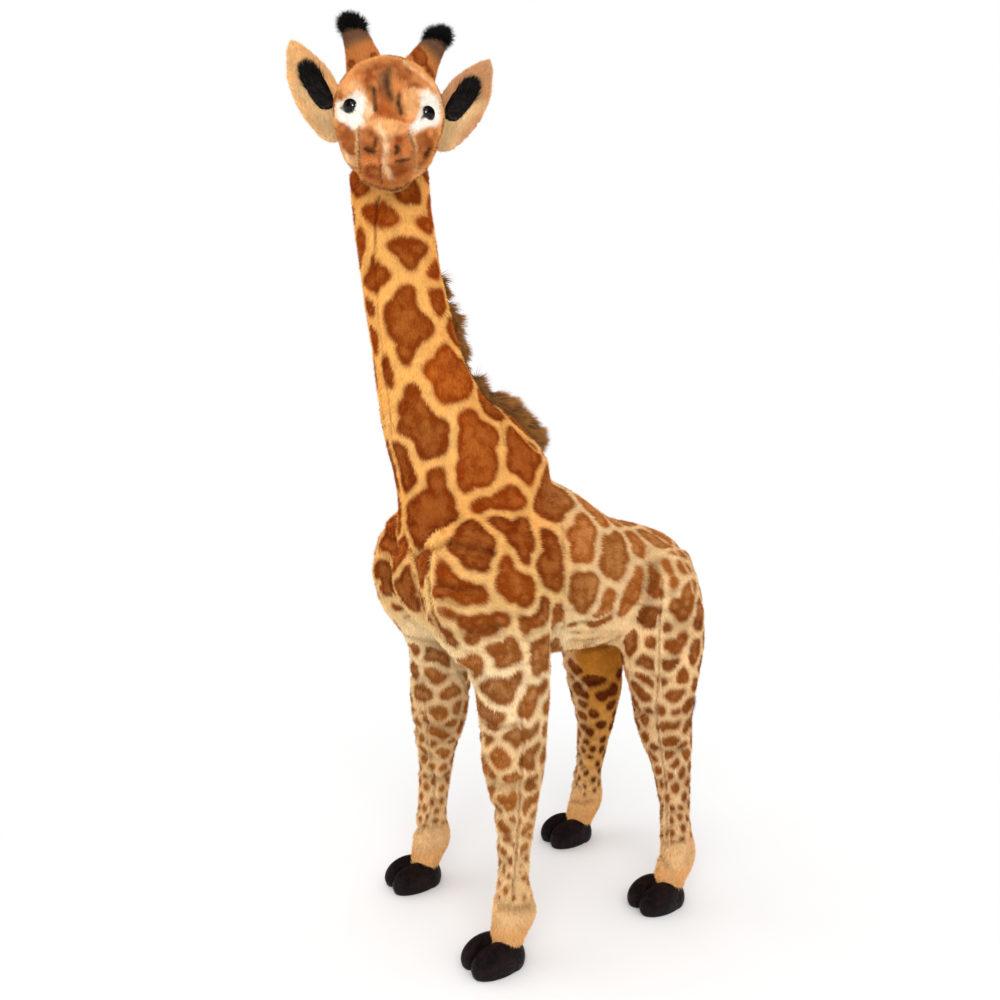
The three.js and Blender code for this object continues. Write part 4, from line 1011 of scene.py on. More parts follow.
# Coat pattern: patches named by places in the photograph, several places can make one patch
patchPicks = {
    "neck": [
        [(354.1, 179.6), (360.4, 187.7)], [(365.7, 211.8), (380, 213.6), (390.7, 215.4)],
        [(403.2, 195.7), (415.7, 192.1), (417.5, 198.4)], [(424.6, 171.6)], [(428.2, 204.6), (420.2, 220.7)],
        [(359.5, 231.4), (361.3, 249.3)], [(351.9, 203.8)], [(397.9, 245.7), (415.7, 245.7), (408.6, 258.2)],
        [(372.9, 265.4), (374.6, 276), (383.6, 275.2), (373.8, 285)], [(433.6, 273.4)], [(437, 290.7), (438.8, 305.9)],
        [(403.9, 294.3), (392.3, 309.5), (407.5, 313.9), (401.3, 328.2), (425.4, 327.3), (407.5, 342.5),
         (404.8, 356.8)],
        [(450.4, 329.1), (458.4, 344.3)], [(373.6, 333.6), (375.4, 349.6)], [(370.9, 306.8)],
        [(386.1, 363), (388.8, 374.6), (390.5, 385.4)],
        [(443.2, 353.2), (430.7, 369.3), (448.6, 373.8), (463.8, 376.4), (443.2, 391.6), (457.5, 393.4)],
        [(483.4, 400.5), (490.5, 412.1)], [(381.6, 398.8), (383.4, 412.1)],
        [(408.4, 392.5), (399.8, 406.5), (406.3, 410.8), (422.5, 411.9), (403, 424.9), (417.1, 429.3),
         (436.6, 428.2), (426.9, 447.7), (437.7, 445.6)],
        [(468.1, 418.4), (487.6, 432.5), (465.9, 443.4), (487.6, 459.6), (468.1, 470.5), (482.2, 481.3),
         (465.9, 484.6)],
        [(511.4, 438), (528.8, 457.5), (514.7, 460.7), (524.4, 472.6)],
        [(481.1, 503), (498.4, 500.8), (510.3, 494.3), (514.7, 503)],
        [(545, 486.7), (550.5, 508.4), (541.8, 497.3), (556.4, 497.3), (567.3, 505.8), (556.4, 513)],
        [(437.7, 475.9), (444.2, 497.6), (422.5, 503), (444.2, 517.1), (425.8, 532.3)],
        [(399.8, 448.8), (404.1, 465.1), (408.4, 479.1)],
        [(498.4, 521.4), (520.1, 524.7), (514.7, 540.9), (528.8, 540.9), (522.3, 557.2)],
        [(470.2, 530.1), (485.4, 541), (459.4, 551.8), (473, 551.9), (487.1, 553), (467.6, 561.7), (482.8, 567.1)],
        [(422, 559.5), (426.4, 563.9), (422, 572.5)],
    ],
    "chest": [
        [(395.4, 524.7), (391.7, 545.4), (399.3, 553), (396, 561.7)],
        [(387.3, 572.5), (389.5, 585.5), (401.4, 586.6), (405.8, 580.1), (405.8, 596.4), (415.5, 607.2)],
        [(398.2, 608.3), (407.9, 612.6)], [(405.8, 637.6), (413.4, 646.3)],
    ],
    "shoulder": [
        [(442.6, 568.2), (448.1, 577.9), (445.9, 592), (462.2, 586.6), (463.2, 599.6), (476.3, 589.9),
         (480.6, 597.5)],
        [(503.9, 561.7), (500.1, 583.4), (513.1, 579), (510.9, 594.2), (524, 586.6), (525, 602.9)],
        [(448.1, 617), (462.2, 622.4), (478.4, 617), (494.7, 618.1), (504.4, 620.2), (489.3, 631.1), (471.9, 637.6)],
        [(439.4, 623.5), (449.1, 632.2), (453.5, 640.8)],
        [(524, 620.2), (534.8, 620.2), (525, 628.9), (537, 618.4), (544.2, 606.3)],
        [(491.4, 646.3), (500.1, 653.8), (510.9, 644.1), (514.2, 657.1), (504.4, 664.7)],
        [(533.7, 643), (534.8, 659.3), (537, 670.1), (538.2, 641.5), (543, 664.5), (545.4, 647.5)],
        [(461.1, 658.2), (474.1, 659.3), (477.3, 670.1)], [(464.3, 676.6), (471.9, 687.5)],
        [(547.9, 540.9), (555.1, 553), (541.8, 565.1), (553.9, 567.6), (550.3, 580.9), (557.6, 584.5)],
    ],
    "flank": [
        [(579.4, 517.9), (573.3, 536), (586.6, 532.4), (573.3, 553), (586.6, 553)], [(586.6, 507), (600, 519.1)],
        [(616.9, 539.7), (608.5, 548.2), (620.6, 555.4), (604.8, 563.9), (619.4, 571.2)],
        [(574.5, 582.1), (589.1, 582.1), (574.5, 596.6), (589.1, 596.6), (580.6, 606.3)],
        [(637.5, 577.2), (629.1, 590.6), (632.7, 584.5), (624.2, 603.9), (636.3, 594.2)],
        [(609.7, 596.6), (606, 608.7), (595.1, 618.4)], [(557.6, 608.7), (556.4, 620.9)], [(569.7, 622.1)],
        [(573.3, 636)], [(558.8, 639), (557.6, 648.7)], [(631.5, 539.7), (637.5, 549.4)],
        [(650.9, 538.5), (661.8, 547)], [(659.3, 534.8)], [(676.3, 554.2)], [(680, 567.6)],
        [(667.8, 568.8), (672.7, 582.1)], [(654.5, 577.2), (650.9, 584.5), (654.5, 593)],
        [(642.4, 612.4), (653.3, 611.2), (650.9, 620.9)], [(686, 591.8), (687.2, 605.1), (673.9, 607.5), (680, 616)],
        [(699.3, 611.2), (696.9, 623.3)], [(630.3, 636.6), (632.7, 646.3)], [(650.9, 642.7)],
        [(669, 642.7), (681.2, 637.8), (675.1, 648.7)], [(694.5, 642.7), (693.3, 656)], [(667.8, 628.1)],
    ],
    "frontLeft": [
        [(489.9, 684.9), (502.3, 684.1), (517.2, 679.1), (499.8, 697.4), (508.1, 693.2)],
        [(531.3, 689.1), (542.1, 683.3), (528, 698.2), (529.7, 708.1), (519.7, 713.9), (528.8, 716.4)],
        [(547.9, 700.7), (545.4, 708.1)], [(478.3, 702.3), (483.2, 711.5), (489.9, 716.4), (498.2, 717.3),
                                           (492.4, 725.6)],
        [(542.9, 728)], [(509.8, 736.3), (518.1, 733), (518.9, 742.1), (528, 734.7), (535.5, 726.4)],
        [(484.1, 731.4), (489.9, 738.8)], [(495.7, 752.1), (505.6, 753.7), (496.5, 761.2), (503.1, 762.9)],
        [(535.5, 747.1), (528, 754.6), (524.7, 762.9), (530.5, 762.9)], [(542.1, 753.7)], [(481.6, 747.9)],
        [(484.9, 765.4), (489, 772)], [(508.9, 777.8), (515.6, 777)], [(532.2, 777), (530.5, 786.1)],
        [(541.3, 780.3)], [(491.5, 789.4)], [(503.3, 798.7), (513.8, 797.8), (508.1, 805.4)],
        [(534.9, 797.8), (529.1, 803.5), (526.2, 808.3)], [(536.3, 812.1)], [(514.8, 819.8), (520.5, 820.7)],
        [(501.4, 824.5), (506.1, 828.4)], [(521.5, 830.8), (529.1, 826.5)], [(529.1, 835.1)],
        [(506.1, 838.9), (513.8, 843.7)], [(498.5, 845.6), (503.3, 851.3)], [(521, 851.8), (525.3, 847)],
        [(525.3, 856.6)], [(510, 860.9)], [(503.8, 867.1)], [(519.5, 865.7)], [(510.5, 875.7), (519.5, 871.9)],
        [(524.3, 876.2)], [(511.4, 883.4)], [(507.1, 890.1)], [(499.9, 882)],
    ],
    "frontRight": [
        [(431.5, 656.7), (442.7, 660.9)], [(434, 672.3), (439.4, 679.9)], [(413.4, 670.1)],
        [(420.3, 691.7), (426.6, 694.5)], [(446.2, 693.8), (454.6, 690.5)], [(413.2, 707.2)],
        [(435, 711.4), (440.6, 711.4), (437.8, 716.3)], [(456.7, 706.5)], [(464.9, 705.8)], [(453.2, 721.9)],
        [(434.3, 732.4), (442.7, 735.9)], [(451.1, 740.1)], [(433.6, 742.2)], [(439.2, 750.7), (444.8, 753.5)],
        [(451.8, 758.4)], [(423.8, 759.1)], [(443.4, 766.8)], [(421, 765.4)], [(424.5, 775.9)], [(426.6, 786.4)],
        [(441.3, 787.1)], [(446.2, 794.2)], [(421.7, 795.6)],
    ],
    "hindLeft": [
        [(642.6, 657.6), (649.9, 662)], [(667.5, 664.9), (673.4, 662)], [(680.7, 673), (679.3, 681.1)],
        [(699.1, 663.5)], [(694.7, 683.3)], [(645.5, 677.4), (653.6, 683.3)], [(661.7, 683.3)],
        [(639.7, 688.4), (644.1, 695)], [(671.9, 695.7), (674.9, 698.7), (677.8, 692.8)], [(636, 703.1)],
        [(649.2, 708.9)], [(661.7, 710.4)], [(676.3, 713.3), (685.1, 708.2), (691, 701.6)], [(644.1, 719.2)],
        [(663.9, 725.8), (671.9, 725.1), (677.8, 722.1)], [(685.9, 725.1), (690.3, 717.7)], [(645.5, 735.4)],
        [(666.8, 741.2), (674.1, 742), (670.5, 737.6)], [(652.9, 745.9)], [(652.9, 755.9)], [(667.5, 756.6)],
        [(673.4, 763.2)], [(687.3, 753.7)], [(690.3, 738.3)], [(658.7, 769.1)], [(682.2, 772.8)], [(662.4, 781.6)],
        [(674.9, 786.3)], [(684.4, 795.5)], [(660.2, 796.2)], [(663.1, 805.8)], [(671.9, 808.4)], [(680.7, 807.2)],
        [(680, 817.5)], [(682.9, 828.5)], [(662, 814.6)],
    ],
    "hindRight": [
        [(569.6, 659.5), (576.7, 667.9)], [(564, 651)], [(587.9, 681.9), (599.1, 681.9), (593.5, 677.7)],
        [(618.8, 670.7)], [(577.4, 689.6), (583, 693.1)], [(571, 674.2)], [(603.3, 693.8), (613.1, 689.6)],
        [(583, 702.3)], [(611.7, 703)], [(592.8, 712.8)], [(600.5, 723.7)], [(611, 724)],
        [(582.3, 725.4), (589.3, 731.7)], [(603, 738.7)], [(585.8, 740.8)], [(601.9, 749.3)], [(583.7, 748.6)],
        [(589.3, 756.3)], [(603, 756.3)], [(580.2, 761.2)], [(583.7, 766.8)], [(597, 764)], [(585.1, 771.7)],
        [(598.4, 770.3)], [(577.8, 776.6)], [(592.1, 778.7)], [(584.4, 785.7)], [(594.2, 788.6)], [(584.4, 793.5)],
    ],
}
pattern = {
    "normalWeight": 0.022,
    "warp": 0.0045,
    "warpScale": 28.0,
    "corner": 0.0045,
    "cornerSpot": 0.035,
    # height, spot radius, room for each filled spot, half width of the line: legs
    "leg": [[0.0, 0.004, 0.016, 0.003], [0.10, 0.0055, 0.018, 0.0033], [0.20, 0.0095, 0.023, 0.0040],
            [0.30, 0.014, 0.030, 0.0048], [0.42, 0.021, 0.043, 0.0056], [0.55, 0.028, 0.052, 0.0048],
            [0.70, 0.030, 0.055, 0.0040]],
    # the same up the trunk and neck
    "torso": [[0.40, 0.026, 0.050, 0.0042], [0.60, 0.034, 0.058, 0.0044], [0.75, 0.045, 0.068, 0.0052],
              [0.95, 0.050, 0.066, 0.0062], [1.20, 0.045, 0.056, 0.0062]],
    "bareBelow": 0.105,
    "tries": 30000, "spare": 4000, "legRoom": 0.86, "torsoRoom": 0.8, "chunk": 3000, "gapMost": 0.12,
    "roundLeast": 0.35, "turned": 0.12, "seenNear": 0.006, "bareDepth": 0.012, "tone": (0.86, 1.12),
    "shadeWarmth": (0.85, 1.15, 1.5),
}


def legShare(co):
    # 1 on a leg below the body, 0 on trunk and neck
    return 1 - step(0.44, 0.56, co[:, 2])


def patternSizes(co):
    table = {}
    for key in ("leg", "torso"):
        rows = np.array(pattern[key])
        table[key] = np.stack([np.interp(co[:, 2], rows[:, 0], rows[:, k]) for k in (1, 2, 3)], -1)
    share = legShare(co)[:, None]
    return share * table["leg"] + (1 - share) * table["torso"]


def castSites(tree):
    sites = []
    for patches in patchPicks.values():
        for patch in patches:
            found = []
            for u, v in patch:
                hit = tree.ray_cast(Vector(eyePlace), rayThrough(u, v))
                if hit[0] is not None:
                    found.append((np.array(hit[0]), np.array(hit[1])))
            if found:
                sites.append(found)
    return sites


def cameraSees(tree, point, normal):
    ray = Vector(point - eyePlace)
    if ray.normalized().dot(Vector(normal)) > -pattern["turned"]:
        return False
    hit = tree.ray_cast(Vector(eyePlace), ray.normalized())
    return hit[0] is not None and abs(hit[3] - ray.length) < pattern["seenNear"]


def sixfold(co, normals):
    return np.hstack([co, pattern["normalWeight"] * normals])


def allSites(tree, co, normals):
    sites = castSites(tree)
    flip = np.array([-1, 1, 1])
    for patch in list(sites):
        mates = [(p * flip, n * flip) for p, n in patch]
        if not any(cameraSees(tree, p, n) for p, n in mates):
            sites.append(mates)
    points = [sixfold(p, n) for patch in sites for p, n in patch]
    owners = [k for k, patch in enumerate(sites) for _ in patch]
    # seeded darts fill what neither the picks nor their mirror images reach
    order = rng.permutation(len(co))
    sizes = patternSizes(co)
    full = sixfold(co, normals)
    known = np.array(points)
    count = len(known)
    known = np.vstack([known, np.zeros((pattern["spare"], 6))])
    for i in order[:pattern["tries"]]:
        if co[i, 2] < pattern["bareBelow"]:
            continue
        room = sizes[i, 1] * (pattern["legRoom"] if legShare(co[i:i + 1])[0] > 0.5 else pattern["torsoRoom"])
        if np.min(np.sum((known[:count] - full[i]) ** 2, axis=1)) > room * room:
            known[count] = full[i]
            owners.append(max(owners) + 1)
            count += 1
    return known[:count], np.array(owners)


def warped(co):
    out = co.copy()
    for i, p in enumerate(co):
        out[i] += pattern["warp"] * np.array(noise.noise_vector(Vector(p) * pattern["warpScale"]))
    return out


def patchEdges(co, normals, sites, owners):
    sizes = patternSizes(co)
    return siteEdges(co, normals, sites, owners, sizes[:, 2], sizes[:, 0])


def siteEdges(co, normals, sites, owners, line, cap):
    full = sixfold(warped(co), normals)
    between = np.sqrt(((sites[:, None, :] - sites[None, :, :]) ** 2).sum(-1)) + 1e-9
    edges = np.empty(len(co))
    nearest = np.empty(len(co), int)
    rounding = pattern["corner"] * np.clip(cap / pattern["cornerSpot"], pattern["roundLeast"], 1)[:, None]
    for low in range(0, len(co), pattern["chunk"]):
        part = slice(low, low + pattern["chunk"])
        d2 = ((full[part, None, :] - sites[None, :, :]) ** 2).sum(-1)
        first = d2.argmin(1)
        gap = (d2 - d2[np.arange(len(first)), first][:, None]) / (2 * between[first])
        gap[owners[first][:, None] == owners[None, :]] = 1
        gap = np.minimum(gap, pattern["gapMost"])
        corner = rounding[part]
        soft = -corner[:, 0] * np.log(np.exp(-gap / corner).sum(1))
        reach = np.sqrt(d2[np.arange(len(first)), first])
        edges[part] = np.minimum(soft - line[part], cap[part] - reach)
        nearest[part] = owners[first]
    return edges, nearest


def blendTints(parts, count):
    total, weight = np.zeros((count, 3)), np.zeros((count, 1))
    for tint, share in parts:
        share = np.broadcast_to(share, count)[:, None]
        total += linear(*tint) * share
        weight += share
    return total / np.maximum(weight, 1e-6)


def coatTints(co, normals):
    x, y, z = co.T
    leg = legShare(co)
    upperNeck = step(0.70, 0.86, z) * (1 - leg)
    lowNeck = step(0.52, 0.66, z) * (1 - upperNeck) * (1 - leg)
    torso = (1 - leg) * (1 - upperNeck)
    rear = step(-0.04, 0.05, y)
    hind = leg * (y > 0.03)
    # the inner sides of the hind legs, which face each other, take darker tints: painted shade between the legs
    inner = hind * step(0.1, 0.6, -normals[:, 0] * np.sign(x))
    foot = leg * (1 - step(0.07, 0.16, z))
    highLeg = step(0.3, 0.44, z)
    ground = blendTints([
        ((250, 202, 118), upperNeck), ((250, 202, 120), lowNeck * (1 - rear)), ((242, 215, 168), torso * rear),
        ((240, 207, 144), torso * (1 - rear) * (1 - lowNeck)),
        ((254, 236, 198), leg * (1 - hind) * (1 - foot) * highLeg),
        ((240, 211, 163), leg * (1 - hind) * (1 - foot) * (1 - highLeg)),
        ((252, 224, 176), (hind - inner).clip(0) * (1 - foot) * highLeg),
        ((238, 208, 162), (hind - inner).clip(0) * (1 - foot) * (1 - highLeg)),
        ((222, 156, 56), inner * (1 - foot) * step(0.1, 0.4, z)), ((238, 190, 112), inner * (1 - step(0.1, 0.4, z))),
        ((236, 200, 150), foot * 1.2), ((238, 180, 106), 1.6 * leg * (1 - step(0.046, 0.074, z)))], len(co))
    patch = blendTints([
        ((196, 98, 6), upperNeck), ((182, 86, 4), lowNeck * (1 - rear)), ((210, 140, 68), torso * rear),
        ((180, 98, 20), torso * (1 - rear) * (1 - lowNeck)), ((200, 138, 74), leg - hind),
        ((182, 112, 46), (hind - inner).clip(0)), ((133, 61, 8), inner)], len(co))
    return ground, patch


def distanceToLine(points, line, closedLine=False):
    line = np.array(line, float)
    ends = np.roll(line, -1, axis=0) if closedLine else line[1:]
    starts = line if closedLine else line[:-1]
    best = np.full(len(points), 1e9)
    for a, b in zip(starts, ends):
        along = b - a
        t = np.clip(((points - a) @ along) / max(along @ along, 1e-12), 0, 1)
        best = np.minimum(best, np.linalg.norm(points - a - t[:, None] * along, axis=1))
    return best


def insideArea(points, area):
    area = np.array(area, float)
    inside = np.zeros(len(points), bool)
    for a, b in zip(area, np.roll(area, -1, axis=0)):
        crosses = (a[1] > points[:, 1]) != (b[1] > points[:, 1])
        with np.errstate(divide="ignore", invalid="ignore"):
            at = (b[0] - a[0]) * (points[:, 1] - a[1]) / (b[1] - a[1]) + a[0]
        inside ^= crosses & (points[:, 0] < at)
    return inside


def layerMask(points, soft, shape, width=None):
    # without a width the shape is an area
    reach = distanceToLine(points, shape, width is None)
    signed = np.where(insideArea(points, shape), reach, -reach) if width is None else width / 2 - reach
    return step(-soft / 2, soft / 2, signed)


# a point takes the photograph's places from this turn towards the camera on
facingLook = {"turn": 0.06, "soft": 0.24, "near": 0.01}


def facing(tree, co, normals):
    seen = np.zeros(len(co))
    for i, p in enumerate(co):
        ray = Vector(p - eyePlace)
        reach = ray.length
        ray.normalize()
        turn = -ray.dot(Vector(normals[i]))
        if turn > facingLook["turn"]:
            hit = tree.ray_cast(Vector(eyePlace), ray)
            if hit[0] is not None and abs(hit[3] - reach) < facingLook["near"]:
                seen[i] = min(1.0, (turn - facingLook["turn"]) / facingLook["soft"])
    return seen


bareAreas = [
    # inner side of the far hind leg, between the front legs, and the belly
    [(566, 640), (606, 636), (624, 646), (622, 664), (606, 676), (588, 673), (576, 662)],
    [(399, 617), (412, 622), (430, 622), (443, 640), (437, 646), (405, 641)],
    [(566, 634), (594, 634), (622, 621), (640, 604), (632, 628), (620, 642), (590, 652), (562, 650)],
]


def bareShare(tree, co, normals):
    pixels = toPixels(co)
    seen = facing(tree, co, normals)
    share = seen * np.max([layerMask(pixels, 5, area) for area in bareAreas], axis=0)
    near = nearTree(co)
    mates = np.array([near.find(p * (-1, 1, 1))[1] for p in co])
    under = step(0.3, 0.7, -normals[:, 2]) * step(0.44, 0.5, co[:, 2]) * (1 - step(0.62, 0.7, co[:, 2]))
    return np.maximum(np.maximum(share, share[mates] * (1 - seen)), under)


def paintCoat(made):
    co, normals = places(made), vertexNormals(made)
    tree = skinTree(made)
    sites, owners = allSites(tree, co, normals)
    edges, nearest = patchEdges(co, normals, sites, owners)
    bare = bareShare(tree, co, normals)
    edges = edges * (1 - bare) - pattern["bareDepth"] * bare
    ground, patch = coatTints(co, normals)
    # each patch has its own depth of brown
    tone = rng.uniform(*pattern["tone"], owners.max() + 1)[nearest]
    setNumber(made, "patchEdge", np.minimum(edges, -seamPipe))
    # the painted shade of seams, folds and creases, warmer where it is deeper
    warmShade = seamShade[:, None] ** np.array(pattern["shadeWarmth"])
    setTint(made, "patchTint", patch * tone[:, None] * warmShade)
    setTint(made, "groundTint", ground * warmShade)
    return len(set(owners.tolist()))


print("patches:", paintCoat(skin))

# Finishes: lengths in metres, sizes of noise, ranges, shares and tints of the coat
coatLook = {
    "fraySize": 170, "edgeSoft": 0.0024, "rimWidth": 0.013, "rim": (0.34, 1.26), "rimShare": 0.6,
    "cloudSize": 55, "cloud": (-0.3, 0.28), "fineSize": 420, "fine": (-0.14, 0.14), "light": (0.25, 0.95),
    "pale": 0.11, "deep": (0.72, 0.56, 0.36), "glowWidth": 0.0055, "glow": 0.36, "shade": 0.28,
    "bladeTone": (0.78, 1.2), "bladeLength": (0.65, 1.2), "darkBlade": (0.86, 0.76, 0.62),
    "lightBlade": (1.14, 1.16, 1.16),
}


def coatGroup():
    look = coatLook
    tree, start, end = newGroup("coatColour", "ShaderNodeTree", [
        ("Edge", "NodeSocketFloat", 0.0), ("Patch", "NodeSocketColor", (0.3, 0.1, 0.02, 1)),
        ("Ground", "NodeSocketColor", (0.8, 0.6, 0.3, 1)), ("Fuzz", "NodeSocketFloat", 0.003),
        ("Mottle", "NodeSocketFloat", 1.0)],
        [("Color", "NodeSocketColor"), ("Height", "NodeSocketFloat")])
    place = objectPlace(tree)
    fray = mathNode(tree, "SUBTRACT", noiseNode(tree, place, look["fraySize"], 3, 0.65), 0.5)
    edge = mathNode(tree, "ADD", start["Edge"], mathNode(tree, "MULTIPLY", fray, start["Fuzz"]))
    inside = rangeNode(tree, edge, -look["edgeSoft"], look["edgeSoft"])
    rim = rangeNode(tree, edge, 0.0, look["rimWidth"], *look["rim"])
    # the cloud and fine noises mottle the coat lighter and darker, painted sheen and shade of the crushed pile; the
    # fine noise also raises the pile
    cloud = rangeNode(tree, noiseNode(tree, place, look["cloudSize"], 4, 0.62), 0.3, 0.7, *look["cloud"])
    fine = rangeNode(tree, noiseNode(tree, place, look["fineSize"], 2, 0.7), 0.25, 0.75, *look["fine"])
    stir = mathNode(tree, "MULTIPLY", mathNode(tree, "ADD", cloud, fine), start["Mottle"])
    # a patch is deeper at its rim, and paler inside where the tips of the pile catch the ground colour; the mottling
    # adds painted sheen and shade to it
    light = mathNode(tree, "ADD", stir, mathNode(tree, "MULTIPLY", rim, look["rimShare"]))
    light = rangeNode(tree, light, *look["light"])
    pale = mixTints(tree, look["pale"], start["Patch"], start["Ground"])
    deep = mixTints(tree, 1.0, start["Patch"], look["deep"], "MULTIPLY")
    patch = mixTints(tree, light, deep, pale)
    glow = rangeNode(tree, edge, -look["glowWidth"], 0.0, 0, look["glow"])
    warm = mixTints(tree, glow, start["Ground"], start["Patch"])
    # the ground colour follows the same mottling: painted sheen and shade
    shade = mathNode(tree, "ADD", mathNode(tree, "MULTIPLY", stir, look["shade"]), 1.0)
    colour = mixTints(tree, inside, vectorNode(tree, "SCALE", warm, scale=shade), patch)
    tree.links.new(colour, end["Color"])
    tree.links.new(fine, end["Height"])
    return tree


coat = coatGroup()


def coatMaterial(name, blades=False, paintedSheen=1.0, fuzz=0.003):
    material, tree, shader = newMaterial(name, 0.88, 0.03, 0.06)
    use = addNode(tree, "ShaderNodeGroup", node_tree=coat)
    for key, value in (("Mottle", paintedSheen), ("Fuzz", fuzz)):
        use.inputs[key].default_value = value
    for key, name, out in (("Edge", "patchEdge", "Fac"), ("Patch", "patchTint", "Color"),
                           ("Ground", "groundTint", "Color")):
        tree.links.new(attributeNode(tree, name, out), use.inputs[key])
    colour = use.outputs["Color"]
    if blades:
        # dark blades are also warmer, a painted warm shade as in the depth of a pile; how dark a blade is differs at
        # random
        tone = rangeNode(tree, attributeNode(tree, "bladeTone"), *coatLook["bladeTone"], kind="LINEAR")
        tone = mixTints(tree, tone, coatLook["darkBlade"], coatLook["lightBlade"])
        colour = mixTints(tree, 1.0, colour, tone, "MULTIPLY")
    else:
        bumped(tree, shader, use.outputs["Height"], 0.002)
    tree.links.new(colour, shader.inputs["Base Color"])
    return material


skin.data.materials.append(coatMaterial("shortPileCloth"))
print("finishes mixed")
